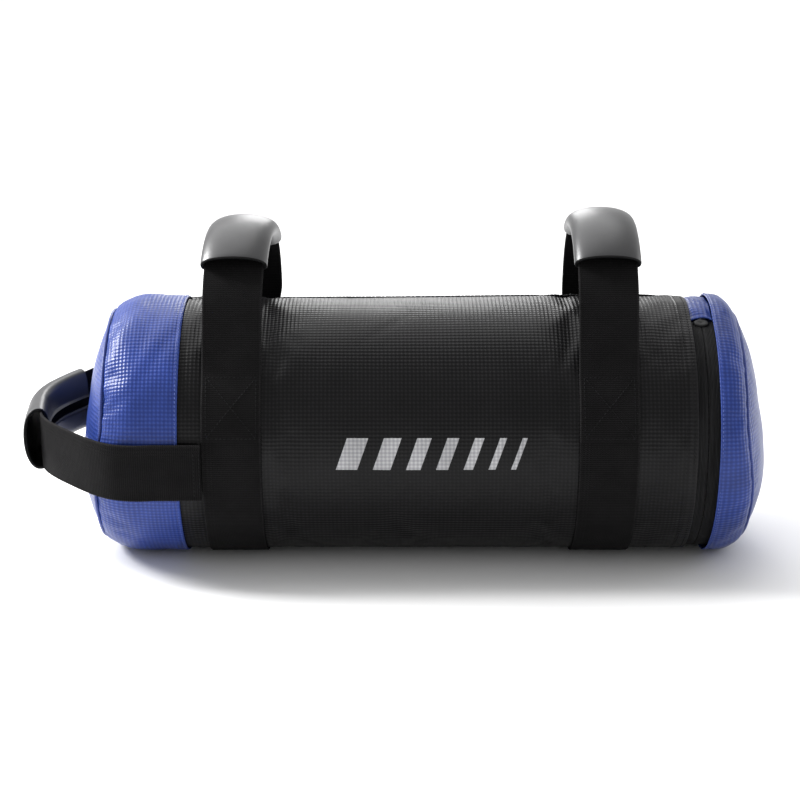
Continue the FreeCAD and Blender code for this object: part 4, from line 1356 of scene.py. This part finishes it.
def sack_folds(x, r, turns):
    """Pleats that gather towards the neck, and slow dents in the body."""
    gather = ridge(r - NECK_R, 34 * MM) if x > sack_hi.x - 60 * MM else 0.0
    pleat = 0.5 * np.cos(26 * turns + 2 * np.sin(3 * turns)) + 0.5 * np.cos(11 * turns + 1.3)
    dents = 0.8 * MM * (np.cos(5 * turns + 31 * x) + np.cos(3 * turns - 19 * x)) - 1.7 * MM
    deep = min(2.2 * MM, 0.10 * r)
    body = min(1.0, r / SACK_R)
    return np.maximum(r + gather * deep * pleat + dents * body * (1 - gather), 0.5 * MM)


sack = turned("filler_sack", sack_outline(), SACK, 240, closed=False, shape=sack_folds)
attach(sack, "bag")
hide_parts("weight_sack")

sand_lo, sand_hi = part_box("sand_fill")
sand_r = (sand_hi.y - sand_lo.y) / 2 - 4 * MM
heap = turned("sand_heap", round_section(sand_lo.x + 4 * MM, sand_hi.x - 5 * MM, 1 * MM, sand_r, 20 * MM),
              SAND, 96, shape=lambda x, r, t: np.maximum(r + 0.5 * MM * np.cos(13 * t + 90 * x), 0.4 * MM))
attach(heap, "bag")
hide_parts("sand_fill")

tie_turns = np.linspace(0, 2 * TURN, 240)
tie_path = ring_points(tie_x + 0.9 * MM * np.sin(tie_turns / 2 + 0.4), TIE_R, tie_turns)
tie = tube("sack_cord", tie_path, 1.05 * MM, CORD, 8)
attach(tie, "bag")
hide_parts("sack_tie")

for side, body in (("left", "bag"), ("right", "end_cap")):
    lo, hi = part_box(f"{side}_end_pad")
    radius = (hi.y - lo.y) / 2
    way = 1 if side == "right" else -1
    flat_x, crest_x = (lo.x, hi.x) if side == "right" else (hi.x, lo.x)
    rim_x = flat_x + way * 20 * MM
    corner = 4 * MM
    section = [(flat_x + way * 1.2 * MM * (1 - (r / radius) ** 2), r)
               for r in np.linspace(1 * MM, radius - corner, 18)]
    section += [(flat_x + way * corner * (1 - math.cos(t)), radius - corner + corner * math.sin(t))
                for t in np.linspace(0.2, TOP, 5)]
    section += [(rim_x, radius)]
    section += [(rim_x + (crest_x - rim_x - way * 0.6 * MM) * (1 - (r / radius) ** 2), r)
                for r in np.linspace(radius - 1.5 * MM, 1 * MM, 18)]
    outward = section[::-1] if side == "left" else section
    pad_piece = turned(f"{side}_end_foam", outward, FOAM, 120, closed=False)
    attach(pad_piece, body)
    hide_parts(f"{side}_end_pad")


# ---------------------------------------------------------------- the print: plain slanted bars


def print_bars():
    """Seven slanted bars, wide to narrow, lying on the cloth at the middle of the front."""
    middle = (STRAP_X["left"] + STRAP_X["right"]) / 2 + 9 * MM
    widths = [17, 14, 11.5, 9.5, 7.5, 5.5, 4]
    gap, slant, half_height = 12.4 * MM, 9 * MM, 13 * MM
    total = sum(widths) * MM + gap * (len(widths) - 1)
    x = middle - total / 2
    centre = math.radians(2)
    points, faces, corners = [], [], []
    across_n, up_n = 10, 10
    for width in widths:
        w = width * MM
        base = len(points)
        for i in range(up_n + 1):
            v = -1 + 2 * i / up_n
            angle = centre + v * half_height / BARREL_R
            places = np.array([x + slant * (v / 2) + w * k / across_n for k in range(across_n + 1)])
            row = main_skin.at_length(main_skin.length_at_x(places), [angle - 0.02, angle, angle + 0.02])
            normal = normals_of(row, wrap=False)[:, 1]
            row = row[:, 1] + normal * 0.75 * MM
            points += [tuple(p) for p in row]
            corners += [(p, angle * BARREL_R) for p in places]
        for i in range(up_n):
            for k in range(across_n):
                a = base + i * (across_n + 1) + k
                faces.append([a, a + 1, a + across_n + 2, a + across_n + 1])
        x += w + gap
    chart = [corners[i] for f in faces for i in f]
    bars = finish_mesh("print_bars", points, faces, chart, PRINT)
    cling = bars.modifiers.new("Cling", "SHRINKWRAP")
    cling.target = main_cover
    cling.wrap_method = "PROJECT"
    cling.use_negative_direction = True
    cling.use_positive_direction = True
    cling.offset = 0.12 * MM
    return bars


bars = print_bars()
clinging = bars.evaluated_get(bpy.context.evaluated_depsgraph_get())
flat_bars = bpy.data.meshes.new_from_object(clinging)
bars.modifiers.clear()
bars.data = flat_bars
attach(bars, "bag")


# ---------------------------------------------------------------- floor, light and camera


def floor_material():
    material, tree, shader = new_material("studio_floor")
    tone = ramp(tree, noise(tree, 3, 2), [(0.3, (0.88, 0.88, 0.885)), (0.7, (0.90, 0.90, 0.90))])
    tree.links.new(tone, shader.inputs["Base Color"])
    shader.inputs["Roughness"].default_value = 0.9
    shader.inputs["Specular IOR Level"].default_value = 0.1
    return material


def make_floor():
    half_size, count, below_bag = 14.0, 8, 0.3 * MM
    span = np.linspace(-half_size, half_size, count)
    points = np.array([[(x, y, -below_bag) for y in span] for x in span])
    floor = grid_mesh("studio_floor", points, points[..., :2], floor_material())


def put(data, place, facing):
    """Adds a lamp or the camera at a place, looking along facing."""
    holder = bpy.data.objects.new(data.name, data)
    holder.location = place
    holder.rotation_mode = "QUATERNION"
    holder.rotation_quaternion = facing.to_track_quat("-Z", "Y")
    bpy.context.scene.collection.objects.link(holder)
    return holder


def area_light(name, place, size, power):
    """A soft box that faces the bag."""
    lamp = bpy.data.lights.new(name, "AREA")
    lamp.shape = "RECTANGLE"
    lamp.size, lamp.size_y = size
    lamp.energy = power
    put(lamp, place, Vector((20 * MM, 0, 100 * MM)) - Vector(place)).visible_camera = False


def make_camera():
    lens, tilt, distance = 86.58, math.radians(15), 1.638
    back = Vector((0, -math.cos(tilt), math.sin(tilt)))
    up = Vector((0, math.sin(tilt), math.cos(tilt)))
    data = bpy.data.cameras.new("camera")
    data.lens = lens
    data.sensor_width = 36
    data.clip_end = 60
    place = Vector((9.75 * MM, 0, AXIS_Z)) + back * distance + up * 19.6 * MM
    bpy.context.scene.camera = put(data, place, -back)


def soft_sun(name, elevation, azimuth, strength, spread):
    """Even light from a large patch of sky; azimuth 0 is from behind the bag, 90 from its left."""
    lamp = bpy.data.lights.new(name, "SUN")
    lamp.energy = strength
    lamp.angle = math.radians(spread)
    e, a = math.radians(elevation), math.radians(azimuth)
    to_light = Vector((-math.sin(a) * math.cos(e), math.cos(a) * math.cos(e), math.sin(e)))
    put(lamp, (0, 0, 0), -to_light)


def studio_world():
    """White behind the bag, dimmer towards the front of the room."""
    world = bpy.data.worlds.new("studio")
    world.use_nodes = True
    tree = world.node_tree
    place = tree.nodes.new("ShaderNodeTexCoord")
    split = tree.nodes.new("ShaderNodeSeparateXYZ")
    tree.links.new(place.outputs["Generated"], split.inputs[0])
    span = tree.nodes.new("ShaderNodeMapRange")
    span.interpolation_type = "SMOOTHSTEP"
    for socket, value in (("From Min", -0.5), ("From Max", 0.7), ("To Min", 0.60), ("To Max", 1.0)):
        span.inputs[socket].default_value = value
    tree.links.new(split.outputs["Y"], span.inputs["Value"])
    tree.links.new(span.outputs["Result"], tree.nodes["Background"].inputs["Strength"])
    tree.nodes["Background"].inputs["Color"].default_value = (1, 1, 1, 1)
    bpy.context.scene.world = world


make_floor()
make_camera()
soft_sun("sky_behind", 60, 25, 1.35, 60)
area_light("back_strip", (0.0, 1.5, 0.85), (0.5, 0.7), 5.6)
area_light("left_side", (-1.30, 0.25, 1.05), (0.4, 0.6), 42)
area_light("right_side", (1.7, 0.5, 0.5), (0.5, 1.0), 4)
studio_world()
bpy.context.scene.view_settings.view_transform = "Standard"
